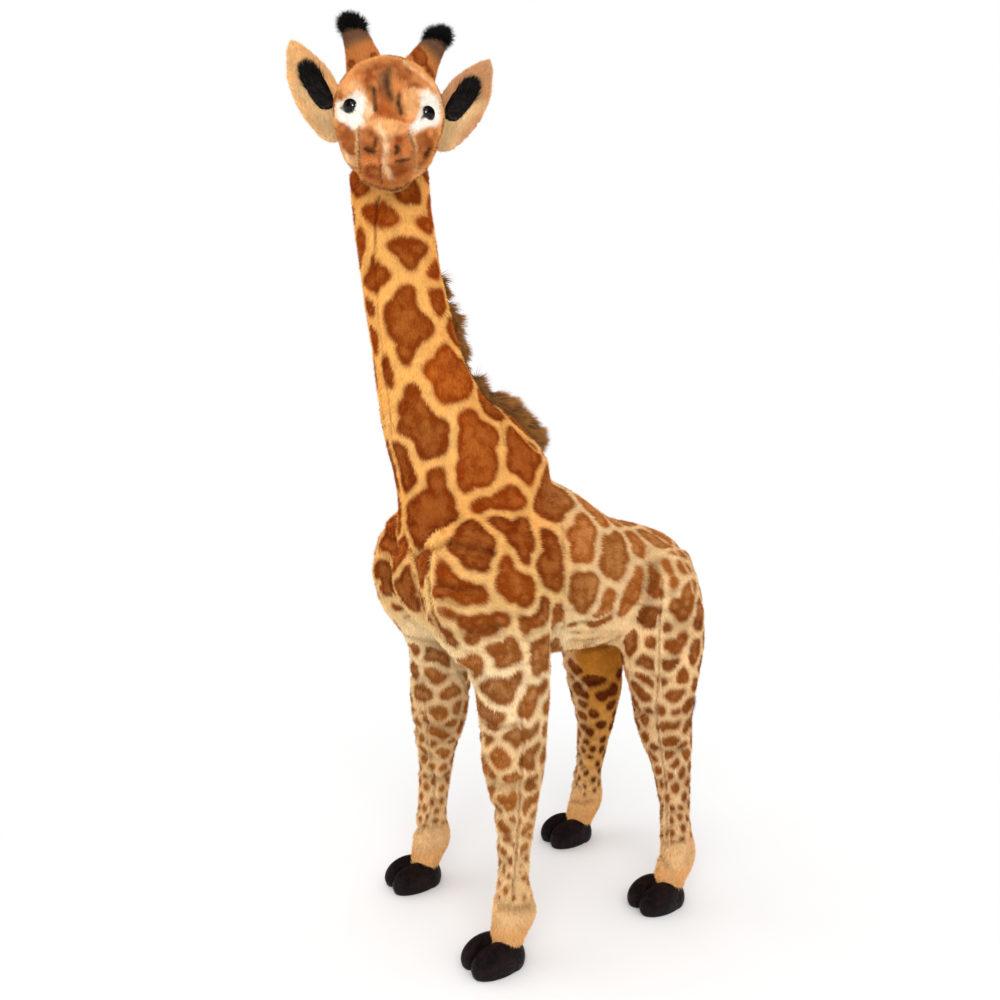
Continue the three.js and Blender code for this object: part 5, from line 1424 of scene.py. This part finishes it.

# Face: soft areas and lines of fur colour, by their places in the photograph, with painted shade along the muzzle seams
# and a painted highlight on the nose bridge; tint, softness, shape, width of a line
faceTints = {
    "base": (228, 156, 92), "rust": (158, 70, 18), "orange": (204, 108, 38), "tan": (244, 196, 136),
    "cream": (252, 228, 186), "white": (255, 255, 255), "brown": (168, 88, 34), "muzzle": (206, 130, 70),
    # seam is the painted shade of the muzzle seams
    "seam": (112, 56, 26), "dark": (34, 20, 15), "black": (12, 8, 8), "grey": (120, 84, 64),
}
faceLayers = [
    ("rust", 4, [(360.6, 75.5), (369.2, 68.3), (380.7, 61.8), (389.4, 59), (403.7, 62.6), (413.8, 72.6), (409.5, 82.7),
     (402.3, 81.3), (395.1, 76.9), (389.4, 69.7), (380.7, 72.6), (376.4, 85.6), (369.2, 92.8), (362.7, 87)]),
    ("rust", 3, [(406.6, 85.6), (413.8, 83.4), (422.4, 87), (418.1, 91.3), (409.5, 91.3)]),
    ("rust", 3, [(334, 98.5), (337.6, 89.9), (344.7, 88.5), (347.6, 94.2), (341.9, 100), (336.1, 102.8)]),
    ("orange", 3, [(373.5, 111.5), (383.6, 105.7), (395.1, 114.4), (405.2, 121.5), (407.3, 130.2), (398, 130.2),
     (386.5, 123), (376.4, 118.7)]),
    ("orange", 4, [(377.8, 85.6), (386.5, 82.7), (392.2, 105.7), (390.8, 114.4), (379.3, 111.5), (376.4, 97.1)]),
    ("tan", 4, [(343.3, 85.6), (351.9, 79.1), (360.6, 83.4), (366.3, 94.2), (360.6, 98.5), (351.9, 97.1),
     (341.9, 94.2)]),
    ("white", 2.5, [(358.4, 91.3), (364.9, 97.1), (367.1, 108.6), (362, 115.8), (367.1, 124.4), (360.6, 131.6),
     (351.9, 130.2), (343.3, 123.7), (333.5, 116.5), (332.9, 105.7), (340.4, 102.8), (349.1, 98.5)]),
    ("cream", 2.5, [(365.6, 98.5), (372.1, 104.3), (373.8, 114.4), (372.1, 120.8), (367.1, 123.7), (362.7, 115.8),
     (366.3, 108.6)]),
    ("tan", 3, [(402.3, 91.3), (413.8, 88.5), (425.3, 91.3), (420.3, 105.7), (413.8, 120.1), (406.6, 120.1),
     (402.3, 105.7)]),
    ("white", 2.5, [(418.8, 94.2), (427.5, 91), (436.1, 98.5), (440.4, 110), (440, 120.1), (435.4, 127.3),
     (423.9, 129), (413.8, 134.5), (408.1, 135.9), (407.3, 127.3), (415.3, 121.5), (420.3, 108.6)]),
    ("brown", 2, [(336.5, 120.1), (343.3, 123.7), (352.7, 130.2), (357, 141.7), (357, 155.4), (351.9, 156.8),
     (343.3, 146.7), (338.3, 133.1)]),
    ("cream", 2, [(331.8, 118.7), (335.4, 120.1), (337.8, 133.1), (342.6, 146.7), (351.9, 156.8), (358.8, 158.2),
     (358.8, 168.3), (347.6, 164.7), (339, 150.3), (332.9, 134.5)]),
    ("brown", 2, [(416.7, 135.2), (425.3, 133.1), (429.6, 138.8), (433.2, 131.6), (436.1, 134.5), (432.5, 148.9),
     (428.2, 157.5), (418.8, 167.6), (416.7, 157.5), (416, 146)]),
    ("muzzle", 2, [(359.1, 131.6), (366.3, 127.3), (380.7, 124.1), (405.2, 128.5), (409.5, 134.5), (413.1, 146),
     (414.1, 163.3), (410.6, 174.8), (404.5, 184.9), (392.2, 188.9), (380.7, 186.9), (369.2, 181.7), (361.3, 174.8),
     (359.1, 160.4)]),
    # the pale top of the muzzle: a painted highlight on the nose bridge
    ("tan", 5, [(366, 124), (380, 119), (398, 124), (405, 131), (395, 138), (380, 135), (370, 132)]),
    ("cream", 3, [(354.1, 128.7), (358.8, 131.6), (360.6, 138.8), (360, 163.3), (358, 160.4), (357.7, 141.7)]),
    ("cream", 3, [(408.1, 133.1), (411.7, 134.5), (416, 148.9), (417, 166.2), (413.8, 167.6), (413.1, 148.9)]),
    ("tan", 3, [(346, 161), (357, 168), (361, 177), (368, 184), (378, 189), (372, 194), (356, 186), (348, 174)]),
    ("tan", 3, [(414, 168), (430, 165), (428, 176), (414, 188), (405, 189), (412, 179)]),
    # dark lines along the side seams of the muzzle: painted shade of the seams
    ("seam", 1.2, [(360.2, 128), (359.6, 140), (359.9, 158), (361.8, 172)], 1.8),
    ("seam", 1.2, [(407.5, 131), (412.6, 146), (414.4, 158), (414.2, 168)], 1.8),
    ("cream", 3.5, [(379.3, 127.3), (385, 138.8), (386.2, 150.3), (385.8, 163.3), (390.1, 174.8)], 5.5),
    ("rust", 2.5, [(366.3, 167.6), (372.1, 163.3), (380.7, 166.2), (380.7, 177.7), (372.1, 178.4), (366.3, 174.8)]),
    ("rust", 2.5, [(389.4, 164.7), (399.4, 160.4), (408.1, 161.8), (406.6, 171.9), (398, 177.7), (390.8, 174.8)]),
    ("rust", 2.5, [(393.7, 135.9), (402.3, 137.4), (402.3, 144.6), (393.7, 143.1)]),
    ("rust", 2.5, [(369.2, 131.6), (375, 131.6), (373.5, 138.8), (369.2, 138.8)]),
    ("rust", 2, [(364.9, 146), (372.1, 144.6), (375.7, 151.8), (369.2, 156.1), (364.9, 151.8)]),
    ("dark", 1.6, [(368.1, 149.6), (372.1, 151.5), (373.8, 152.3)], 6),
    ("dark", 1.8, [(376.1, 139.5), (375.4, 145.3), (374.2, 148.2)], 3),
    ("dark", 1.6, [(396.3, 147.4), (397.7, 151), (396.3, 153.2)], 6),
    ("dark", 1.6, [(395.8, 161.1), (402.3, 160.4), (407.3, 159.5)], 3),
    ("dark", 1.2, [(381.3, 164), (381, 171.9), (382.4, 182.7)], 1.6),
    ("black", 1.2, [(363.5, 179.5), (366.5, 182.2), (373.1, 184.4), (380.7, 187.6), (392.2, 189.2), (402.7, 186.6),
     (409.2, 181.5)], 2.2),
    ("grey", 3, [(382.9, 76.9), (382.4, 85.6), (385, 94.2)], 9),
    ("dark", 3.6, [(388.8, 71.9), (387.0, 81.3), (388.7, 91.3), (390.6, 99)], 6),
    ("dark", 2.2, [(374.0, 89.9), (374.8, 98.5), (376.1, 110.5)], 4.2),
    ("dark", 2.2, [(398.7, 96.5), (397.6, 104.3), (400.6, 114.6)], 4.4),
    ("dark", 1.5, [(428.9, 148.9), (423.9, 157.5)], 3),
    ("cream", 1.8, [(403.7, 64), (415.3, 72.6), (428.2, 82.7), (436.8, 91.3), (440.4, 100)], 2.5),
    ("dark", 1.0, [(339, 150.3), (347.6, 164.4), (358.8, 168.3)], 1.6),
    ("dark", 1.0, [(416.7, 168.3), (426.8, 167.3)], 1.4),
    ("black", 1.0, [(340.4, 108.9), (344.7, 105.7), (347.6, 111.5), (344, 111.8)]),
    ("black", 1.0, [(419.3, 120.8), (421.7, 115.1), (425.3, 116.5), (423.9, 119)]),
]


# how the layers are laid on
faceFinish = {
    "soften": 1.7, "softenWhite": 1.5, "halo": 7, "wobble": 1.6, "wobbleSize": 160, "stray": 0.35,
    "weights": {"rust": 0.8, "dark": 0.9, "grey": 0.7, "brown": 0.85, "orange": 0.8, "white": 1.0},
    "even": ("seam", "dark", "black", "grey"), "cloud": 0.28, "cloudSize": 42, "thinSize": 95, "blotchSize": 130,
    "back": (236, 172, 100), "patch": (150, 72, 24), "room": 0.036, "line": 0.0036, "spot": 0.03, "tone": (0.86, 1.1),
}


# how far it comes forward, softness in photograph pixels, shape, width of a line
faceForms = [
    (0.0075, 7, "muzzle"),
    (-0.0095, 3.5, [(358.3, 131.6), (360.4, 145.0), (359.8, 161.0), (361.3, 174.8)], 3.6),
    (-0.0095, 3.5, [(410.9, 134.5), (413.1, 146.0), (414.1, 163.3), (410.6, 175.0)], 3.6),
    (-0.0052, 3.0, [(361.3, 174.8), (365.6, 179.8), (372.1, 182.3), (380.7, 186.6), (392.2, 188.7), (403.7, 185.1),
     (410.2, 177)], 2.6),
    (0.004, 6, [(368, 189), (380, 193), (392, 195), (404, 191)], 7),
    (-0.0022, 2.0, [(381.3, 164), (381.0, 171.9), (382.4, 182.7)], 1.4),
    (-0.0032, 3.0, [(368.1, 149.6), (373.8, 151.5)], 4),
    (-0.0032, 3.0, [(396.3, 148.5), (396.9, 152)], 4),
    (0.0026, 5, [(362.5, 146), (367, 158), (376, 158)], 6),
    (0.0026, 5, [(404.5, 146), (400, 158), (391, 158)], 6),
    (-0.0034, 7, [(349.8, 107), (350.2, 110)], 12),
    (-0.0034, 7, [(428.4, 111), (428.6, 114)], 12),
    (0.004, 7, [(341, 95), (350, 90), (360, 93)], 7),
    (0.004, 7, [(414, 96), (426, 93), (438, 101)], 7),
    (0.0042, 9, [(342, 132), (350, 146), (354, 158)], 10),
    (0.0042, 9, [(432, 136), (427, 150), (420, 160)], 10),
    (-0.004, 2.5, [(339, 150.3), (347.6, 164.4), (358.8, 168.3)], 2.2),
    (-0.004, 2.5, [(416.7, 168.3), (426.8, 167.3)], 2.2),
    (-0.002, 2.5, [(403.7, 64), (415.3, 72.6), (428.2, 82.7), (436.8, 91.3), (440.4, 100)], 1.8),
    (0.003, 9, [(388, 70), (388, 92), (390, 104)], 12),
    (-0.0024, 6, [(374, 112), (388, 118), (402, 112)], 6),
]


def shapeFace(made):
    co, normals = places(made), vertexNormals(made)
    pairs = edgePairs(made)
    seen = relaxed(facing(skinTree(made), co, normals)[:, None], pairs, 8)[:, 0]
    pixels = toPixels(co)
    shift = np.zeros(len(co))
    for forward, soft, shape, *width in faceForms:
        if shape == "muzzle":
            shape = next(layer[2] for layer in faceLayers if layer[0] == shape)
        shift += forward * layerMask(pixels, soft, shape, *width)
    shift = relaxed((shift * seen)[:, None], pairs, 1)[:, 0]
    putPlaces(made, co + normals * shift[:, None])


def paintHead(made):
    look = faceFinish
    co, normals = places(made), vertexNormals(made)
    seen = relaxed(facing(skinTree(made), co, normals)[:, None], edgePairs(made), 12)
    pixels = toPixels(co)
    wobble = np.array([noise.noise_vector(Vector(p) * look["wobbleSize"])[:2] for p in co]) * look["wobble"]
    tint = np.tile(linear(*faceTints["base"]), (len(co), 1))
    tint = tint * (1 + look["cloud"] * noiseAt(co, look["cloudSize"])[:, None])
    halo = np.max([layerMask(pixels + wobble, look["halo"], layer[2])
                   for layer in faceLayers if layer[0] == "white"], axis=0)[:, None]
    tint = tint * (1 - halo) + linear(*faceTints["cream"]) * halo
    for k, (name, soft, *shape) in enumerate(faceLayers):
        even, white = name in look["even"], name == "white"
        soft *= look["soften"] * (look["softenWhite"] if white else 1)
        mask = layerMask(pixels + (look["stray"] if even else 1.0) * wobble, soft, *shape)
        mask *= look["weights"].get(name, 1.0)
        low = 0.86 if white else 0.75 if even else 0.4
        mask = (mask * np.clip(0.88 + 0.8 * noiseAt(co, look["thinSize"], (0, 0, 7 * k)), low, 1))[:, None]
        tint = tint * (1 - mask) + linear(*faceTints[name]) * mask
    pale = np.clip((tint[:, 2:] - 0.35) / 0.4, 0, 1)
    tint = tint * (1 + (0.2 - 0.16 * pale) * noiseAt(co, look["blotchSize"])[:, None])
    setTint(made, "groundTint", seen * tint + (1 - seen) * linear(*look["back"]))
    sites, owners = dartSites(co, normals, look["room"])
    line, spot = np.full(len(co), look["line"]), np.full(len(co), look["spot"])
    edges, nearest = siteEdges(co, normals, sites, owners, line, spot)
    setNumber(made, "patchEdge", edges * (1 - seen[:, 0]) - look["spot"] * seen[:, 0] - 0.002)
    tone = rng.uniform(*look["tone"], owners.max() + 1)[nearest]
    setTint(made, "patchTint", linear(*look["patch"]) * tone[:, None])


def dartSites(co, normals, room):
    full = sixfold(co, normals)
    chosen = np.zeros((600, 6))
    count = 0
    for i in rng.permutation(len(co))[:6000]:
        if count == 0 or np.min(np.sum((chosen[:count] - full[i]) ** 2, axis=1)) > room * room:
            chosen[count] = full[i]
            count += 1
    return chosen[:count], np.arange(count)


def paintPlain(made, tint, patchTint=None, room=0.04, line=0.004):
    co, normals = places(made), vertexNormals(made)
    setTint(made, "groundTint", np.asarray(tint) * (1 + 0.12 * noiseAt(co, 40)[:, None]))
    if patchTint is None:
        setNumber(made, "patchEdge", np.full(len(co), -0.05))
        setTint(made, "patchTint", np.tile(linear(182, 98, 36), (len(co), 1)))
        return
    sites, owners = dartSites(co, normals, room)
    edges, _ = siteEdges(co, normals, sites, owners, np.full(len(co), line), np.full(len(co), room * 0.6))
    setNumber(made, "patchEdge", edges)
    setTint(made, "patchTint", np.tile(patchTint, (len(co), 1)))


earFinish = {"cream": (242, 212, 162), "left": (190, 100, 36), "right": (236, 180, 110), "low": 0.75, "behind": 0.5}
hornFinish = {"brown": (222, 150, 82), "grey": (134, 98, 74), "greyFrom": (0.5, 0.78), "blotchSize": 55}


def paintEars():
    tilt = math.radians(ears["tilt"])
    for sideName, side in sides:
        ear = pieces[f"ear_{sideName}"]
        own = (toHead(places(ear)) - toHead(ears["places"][sideName])) * [side, 1, 1]
        aside = own[:, 0] * math.cos(tilt) - own[:, 2] * math.sin(tilt)
        along = own[:, 0] * math.sin(tilt) + own[:, 2] * math.cos(tilt)
        low = step(0.02, 0.045, aside) * (1 - step(0.03, 0.11, along))
        behind = step(-0.002, 0.004, own[:, 1] + 0.012 * (aside / 0.044) ** 2)
        mix = np.clip(earFinish["low"] * low + earFinish["behind"] * behind, 0, 1)[:, None]
        paintPlain(ear, linear(*earFinish["cream"]) * (1 - mix) + linear(*earFinish[sideName]) * mix)


def paintHorns():
    look = hornFinish
    for sideName, side in sides:
        horn = pieces[f"horn_{sideName}"]
        own = toHead(places(horn))
        lean = math.radians(horns["lean"][side])
        up = ((own[:, 2] - horns["rise"]) * math.cos(lean)
              + (side * own[:, 0] - horns["spread"]) * math.sin(lean)) / horns["length"]
        share = step(*look["greyFrom"], up)[:, None]
        paintPlain(horn, linear(*look["brown"]) * (1 - share) + linear(*look["grey"]) * share)
        edge = noiseAt(places(horn), look["blotchSize"])
        setNumber(horn, "patchEdge", 0.03 * (edge - 0.04) - 0.04 * np.clip(up - 0.3, 0, 1))


shapeFace(pieces["headSkin"])
paintHead(pieces["headSkin"])
paintEars()
paintHorns()
paintPlain(pieces["tail"], linear(250, 214, 150), linear(190, 112, 44), 0.022, 0.003)
print("face, ears, horns and tail coloured")

# Pile: short blades of fur over every plush skin


def namedField(tree, name, kind="FLOAT"):
    return addNode(tree, "GeometryNodeInputNamedAttribute", {"Name": name}, data_type=kind).outputs["Attribute"]


def randomField(tree, seed, low, high, kind="FLOAT"):
    node = addNode(tree, "FunctionNodeRandomValue", {"Seed": seed}, data_type=kind)
    slots = [s for s in node.inputs if s.enabled]
    slots[0].default_value, slots[1].default_value = low, high
    return next(s for s in node.outputs if s.enabled)


def stored(tree, geometry, name, value):
    return addNode(tree, "GeometryNodeStoreNamedAttribute", {"Geometry": geometry, "Name": name, "Value": value},
                   domain="POINT", data_type="FLOAT").outputs[0]


def pileTree():
    floats = {"Density": 300000.0, "Length": 0.007, "Width": 0.001, "Lean": 1.2, "Stir": 0.6, "Area": 0.0}
    tree, start, end = newGroup("pileBlades", "GeometryNodeTree", [
        ("Geometry", "NodeSocketGeometry"), *[(label, "NodeSocketFloat", value) for label, value in floats.items()],
        ("Seed", "NodeSocketInt", 1), ("Finish", "NodeSocketMaterial")], [("Geometry", "NodeSocketGeometry")])
    seed = start["Seed"]
    off = mathNode(tree, "ABSOLUTE", mathNode(tree, "SUBTRACT", namedField(tree, "pileArea"), start["Area"]))
    density = mathNode(tree, "MULTIPLY", start["Density"], namedField(tree, "pileDensity"))
    density = mathNode(tree, "MULTIPLY", mathNode(tree, "LESS_THAN", off, 0.5), density)
    spread = addNode(tree, "GeometryNodeDistributePointsOnFaces", {
        "Mesh": start["Geometry"], "Density": density, "Seed": seed}, distribute_method="RANDOM").outputs
    points = stored(tree, spread["Points"], "bladeTone", randomField(tree, seed, *coatLook["bladeTone"]))
    stir = randomField(tree, seed, (-1, -1, -1), (1, 1, 1), "FLOAT_VECTOR")
    stir = vectorNode(tree, "SCALE", stir, scale=start["Stir"])
    lean = vectorNode(tree, "SCALE", namedField(tree, "groom", "FLOAT_VECTOR"), scale=start["Lean"])
    way = vectorNode(tree, "ADD", vectorNode(tree, "ADD", spread["Normal"], lean), stir)
    aim = addNode(tree, "FunctionNodeAlignRotationToVector", {"Vector": way}, axis="X")
    turn = addNode(tree, "ShaderNodeCombineXYZ", {0: randomField(tree, seed, 0.0, 6.2832)})
    roll = addNode(tree, "FunctionNodeEulerToRotation", {0: turn.outputs[0]})
    both = addNode(tree, "FunctionNodeRotateRotation", {0: aim.outputs[0], 1: roll.outputs[0]}, rotation_space="LOCAL")
    # one blade: a thin triangle, root at the origin and tip at 1 on X
    ring = addNode(tree, "GeometryNodeMeshCircle", {"Vertices": 3, "Radius": 1.0}, fill_type="NGON")
    shape = addNode(tree, "GeometryNodeTransform", {
        0: ring.outputs[0], "Translation": (1 / 3, 0, 0), "Scale": (2 / 3, 1 / math.sqrt(3), 1)})
    reach = addNode(tree, "ShaderNodeSeparateXYZ", {0: addNode(tree, "GeometryNodeInputPosition").outputs[0]})
    blade = stored(tree, shape.outputs[0], "bladeTip", reach.outputs[0])
    long = mathNode(tree, "MULTIPLY", namedField(tree, "pileLength"), randomField(tree, seed, *coatLook["bladeLength"]))
    long = mathNode(tree, "MULTIPLY", start["Length"], long)
    size = addNode(tree, "ShaderNodeCombineXYZ", {0: long, 1: start["Width"], 2: start["Width"]})
    stand = addNode(tree, "GeometryNodeInstanceOnPoints", {
        "Points": points, "Instance": blade, "Rotation": both.outputs[0], "Scale": size.outputs[0]})
    real = addNode(tree, "GeometryNodeRealizeInstances", {0: stand.outputs[0]})
    finish = addNode(tree, "GeometryNodeSetMaterial", {"Geometry": real.outputs[0], "Material": start["Finish"]})
    tree.links.new(finish.outputs[0], end["Geometry"])
    return tree


blades = pileTree()


def groomed(made, direction, area=0.0, density=1.0, length=1.0):
    co, normals = places(made), vertexNormals(made)
    flow = np.broadcast_to(np.asarray(direction, float), co.shape).copy()
    flow -= normals * (flow * normals).sum(1)[:, None]
    size = np.linalg.norm(flow, axis=1)[:, None]
    flow = flow / np.maximum(size, 0.25)
    layer = made.data.attributes.get("groom") or made.data.attributes.new("groom", "FLOAT_VECTOR", "POINT")
    layer.data.foreach_set("vector", flow.astype(np.float32).ravel())
    for name, value in (("pileArea", area), ("pileDensity", density), ("pileLength", length)):
        setNumber(made, name, np.broadcast_to(value, len(co)))


def addBakeMap(made):
    # each blade gets a small triangle of its own in a grid
    count = len(made.data.polygons)
    across = math.ceil(math.sqrt(count))
    cell = np.arange(count)
    corner = np.stack([cell % across, cell // across], -1)[:, None, :] + np.array([[0.2, 0.2], [0.8, 0.2], [0.5, 0.8]])
    layer = made.data.uv_layers.new(name="OFBake")
    layer.data.foreach_set("uv", (corner / across).astype(np.float32).ravel())


def growPile(key, base, finish, kind, seed, area=0):
    made = objectOf(f"pile_{key}", base.data.copy())
    modifier = made.modifiers.new("blades", "NODES")
    modifier.node_group = blades
    values = {name.capitalize(): float(value) for name, value in pile[kind].items()}
    values.update({"Area": float(area), "Seed": seed, "Finish": finish})
    for item in blades.interface.items_tree:
        if item.in_out == "INPUT" and item.name in values:
            modifier[item.identifier] = values[item.name]
    settled(made)
    addBakeMap(made)
    pieces[f"pile_{key}"] = made
    print("pile of", key, len(made.data.polygons), "blades")


def furred(key, flow, finish, kind, seed, source=None, **spread):
    base = pieces[source or key]
    groomed(base, flow, **spread)
    growPile(key, base, finish, kind, seed)


def bladeMaterial(name, tint, rough=0.6, deep=0.45, sheen=0.05):
    material, tree, shader = newMaterial(name, rough, sheen, 0.12)
    # each blade darker towards its root: painted shade in the depth of the pile
    tip = rangeNode(tree, attributeNode(tree, "bladeTip"), 0.0, 1.0, deep, 1.15)
    cloud = rangeNode(tree, noiseNode(tree, objectPlace(tree), 60), 0.3, 0.7, 0.75, 1.25)
    factor = mathNode(tree, "MULTIPLY", mathNode(tree, "MULTIPLY", attributeNode(tree, "bladeTone"), tip), cloud)
    base = tree.nodes.new("ShaderNodeRGB")
    base.outputs[0].default_value = (*linearTuple(*tint), 1)
    tree.links.new(vectorNode(tree, "SCALE", base.outputs[0], scale=factor), shader.inputs["Base Color"])
    return material


furAreas = ["neck", "foreTrunk", "hindTrunk", "frontLeft", "frontRight", "hindLeft", "hindRight"]
pile = {
    "body": {"density": 460000, "length": 0.0062, "width": 0.0011, "lean": 1.6, "stir": 0.6},
    "head": {"density": 900000, "length": 0.005, "width": 0.0008, "lean": 1.2, "stir": 0.6},
    "ear": {"density": 900000, "length": 0.0045, "width": 0.0008, "lean": 1.4, "stir": 0.5},
    "horn": {"density": 1000000, "length": 0.0045, "width": 0.0008, "lean": 1.0, "stir": 0.6},
    "tail": {"density": 700000, "length": 0.006, "width": 0.0009, "lean": 1.4, "stir": 0.5},
    "mane": {"density": 1700000, "length": 0.021, "width": 0.0013, "lean": 1.5, "stir": 0.4},
    "tuft": {"density": 1200000, "length": 0.012, "width": 0.0013, "lean": 0.5, "stir": 1.0},
    "tailTuft": {"density": 1200000, "length": 0.022, "width": 0.0011, "lean": 3.6, "stir": 0.35},
    "lining": {"density": 700000, "length": 0.011, "width": 0.0012, "lean": 2.2, "stir": 0.7},
}


def bodyAreas(co):
    x, y, z = co.T
    area = np.where(z > 0.74, 0, np.where(y < -0.03, 1, 2))
    low = z < 0.46
    return np.where(low, np.where(y < 0, np.where(x > 0, 3, 4), np.where(x > 0, 5, 6)), area)


def bodyFlow(co):
    leg = legShare(co)
    up = step(0.62, 0.8, co[:, 2])
    back = (1 - leg) * (1 - up)
    return np.stack([0 * leg, 0.9 * back + 0.15 * leg, -leg - up - 0.55 * back], -1)


shortPile = coatMaterial("shortPile", blades=True)
facePile = coatMaterial("facePile", blades=True, paintedSheen=0.6, fuzz=0.002)
olivePile = bladeMaterial("manePile", (164, 112, 54), deep=0.35)
blackPile = bladeMaterial("blackPile", (16, 12, 11), 0.6, 0.7, 0.02)


def growAll():
    co = places(skin)
    groomed(skin, bodyFlow(co), bodyAreas(co))
    for k, area in enumerate(furAreas):
        growPile(area, skin, shortPile, "body", 11 + k, k)
    furred("head", np.array([0, 0.8, 0.5]) @ headTurn.T, facePile, "head", 31, "headSkin")
    for k, (sideName, side) in enumerate(sides):
        out = np.array([side * 0.5, 0.1, 0.85]) @ headTurn.T
        furred(f"ear_{sideName}", out, facePile, "ear", 33 + k)
        # hair only on the upper half of a lining
        own = toHead(places(pieces[f"lining_{sideName}"])) - toHead(ears["places"][sideName])
        own = own @ [side * 0.545, 0, 0.839]
        share = (own - own.min()) / (own.max() - own.min())
        furred(f"lining_{sideName}", out, blackPile, "lining", 45 + k, density=step(0.5, 0.8, share))
        furred(f"horn_{sideName}", out, facePile, "horn", 35 + k)
        furred(f"hornTuft_{sideName}", out, blackPile, "tuft", 37 + k)
    # the mane stands in clumps
    co = places(pieces["mane"])
    clump, lift = noiseAt(co, 58), noiseAt(co, 40, (5, 0, 0))
    flow = np.stack([0.5 * lift, 0.9 + 0 * clump, -0.6 + 1.6 * clump], -1)
    furred("mane", flow, olivePile, "mane", 41, density=step(-0.45, 0.1, clump),
           length=np.clip(0.86 + 1.4 * clump, 0.45, 1.2))
    furred("tail", (0, 0, -1), shortPile, "tail", 42)
    furred("tailTuft", (0, 0.05, -1), blackPile, "tailTuft", 43)


growAll()


# The other finishes: a grain mixes two tints and raises the surface; on the velvet and the satin the lighter tint on
# the raised grain is painted sheen
def grainMaterial(name, rough, specular, grain, tints, reach=None, bump=None, sheen=0.0, metal=0.0):
    material, tree, shader = newMaterial(name, rough, sheen, specular, metal)
    level = noiseNode(tree, objectPlace(tree), *grain)
    share = rangeNode(tree, level, *reach) if reach else level
    tree.links.new(mixTints(tree, share, *[linearTuple(*tint) for tint in tints]), shader.inputs["Base Color"])
    if bump:
        bumped(tree, shader, level, *bump)
    return material


def shaded(tint, share):
    return [share * v for v in tint], tint


def velvetMaterial():
    # the lighter tint where the crushed velvet rises is painted sheen
    material = grainMaterial("blackVelvet", 0.34, 0.13, (75, 5, 0.68), ((10, 3, 3), (42, 20, 19)), (0.35, 0.75),
                             (0.012, 1.0))
    tree = material.node_tree
    rough = rangeNode(tree, noiseNode(tree, objectPlace(tree), 300), 0.3, 0.7, 0.3, 0.6)
    tree.links.new(rough, tree.nodes["Principled BSDF"].inputs["Roughness"])
    return material


# the lighter tint on the raised folds of the satin is painted sheen
satin = grainMaterial("darkSatin", 0.4, 0.06, (90, 3, 0.6), ((8, 4, 3), (30, 20, 16)), (0.4, 0.75), (0.003, 0.8))
gloss = grainMaterial("eyeGloss", 0.05, 0.25, (300, 1), ((6, 4, 4), (16, 9, 7)), (0.3, 0.7))
velvet = velvetMaterial()
maneBacking, tuftBacking = (
    grainMaterial(name, 0.9, 0.2, (240, 3, 0.6), shaded(tint, 0.6), bump=(0.002,), sheen=0.1)
    for name, tint in (("maneBacking", (120, 78, 30)), ("tuftBacking", (20, 17, 17))))

faceCloth = coatMaterial("facePileCloth", paintedSheen=0.6, fuzz=0.002)
for key in ("headSkin", "ear_left", "ear_right", "horn_left", "horn_right"):
    pieces[key].data.materials.append(faceCloth)
pieces["tail"].data.materials.append(skin.data.materials[0])
pieces["mane"].data.materials.append(maneBacking)
for key in ("hornTuft_left", "hornTuft_right", "tailTuft"):
    pieces[key].data.materials.append(tuftBacking)
for sideName, _ in sides:
    pieces[f"lining_{sideName}"].data.materials.append(satin)
    pieces[f"eye_{sideName}"].data.materials.append(gloss)
    for pair in ("front", "hind"):
        pieces[f"{pair}Hoof_{sideName}"].data.materials.append(velvet)


inner = {ending: grainMaterial(name, rough, 0.5, (600, 2, 0.6), shaded(tint, 0.85), bump=(0.0004, 0.3), metal=metal)
         for ending, name, tint, rough, metal in (("_rod", "drawnSteel", (164, 166, 170), 0.35, 1.0),
                                                  ("_foot_disc", "stiffBoard", (156, 134, 100), 0.85, 0.0),
                                                  ("eye_washer", "washerPlastic", (232, 232, 226), 0.45, 0.0))}
for made in scene.objects:
    for ending, finish in inner.items():
        if made.type == "MESH" and ending in made.name and made.name in frame["nodes"]:
            made.data.materials.clear()
            made.data.materials.append(finish)
print("pile grown, finishes set")

# Each piece on its body
stands = {
    "headSkin": ("head", "plush", ["head", "muzzle"]),
    "mane": ("body", "mane_fur", ["mane"]),
    "tail": ("tail", "leg_plush", ["tail"]),
    "tailTuft": ("tail", "tuft_fur", ["tail_tuft"]),
}
for sideName, _ in sides:
    stands[f"horn_{sideName}"] = ("head", "horn_plush", [f"horn_{sideName}"])
    stands[f"hornTuft_{sideName}"] = ("head", "tuft_fur", [f"horn_tuft_{sideName}"])
    stands[f"ear_{sideName}"] = (f"ear_{sideName}", "ear_plush", [f"ear_{sideName}"])
    stands[f"lining_{sideName}"] = (f"ear_{sideName}", "satin", [f"ear_lining_{sideName}"])
    stands[f"eye_{sideName}"] = ("head", "eye_plastic", [f"eye_{sideName}"])
    for pair in ("front", "hind"):
        stands[f"{pair}Hoof_{sideName}"] = ("body", "hoof_velvet", [f"{pair}_hoof_{sideName}"])
for key, (body, slot, nodes) in stands.items():
    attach(pieces[key], body)
    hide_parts(*nodes)
for key in ["head", "mane", "tail", "tailTuft", *furAreas[1:], *[
        f"{kind}_{sideName}" for sideName, _ in sides for kind in ("ear", "lining", "horn", "hornTuft")]]:
    if key in furAreas:
        body, slot = "body", "plush" if key.endswith("Trunk") else "leg_plush"
    else:
        body, slot, _ = stands["headSkin" if key == "head" else key]
    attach(pieces[f"pile_{key}"], body)
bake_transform(pieces["pile_neck"])
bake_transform(skin)
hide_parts("trunk", "neck", "neck_ball", *[f"{pair}_leg_{sideName}" for pair, sideName, _ in legNames])
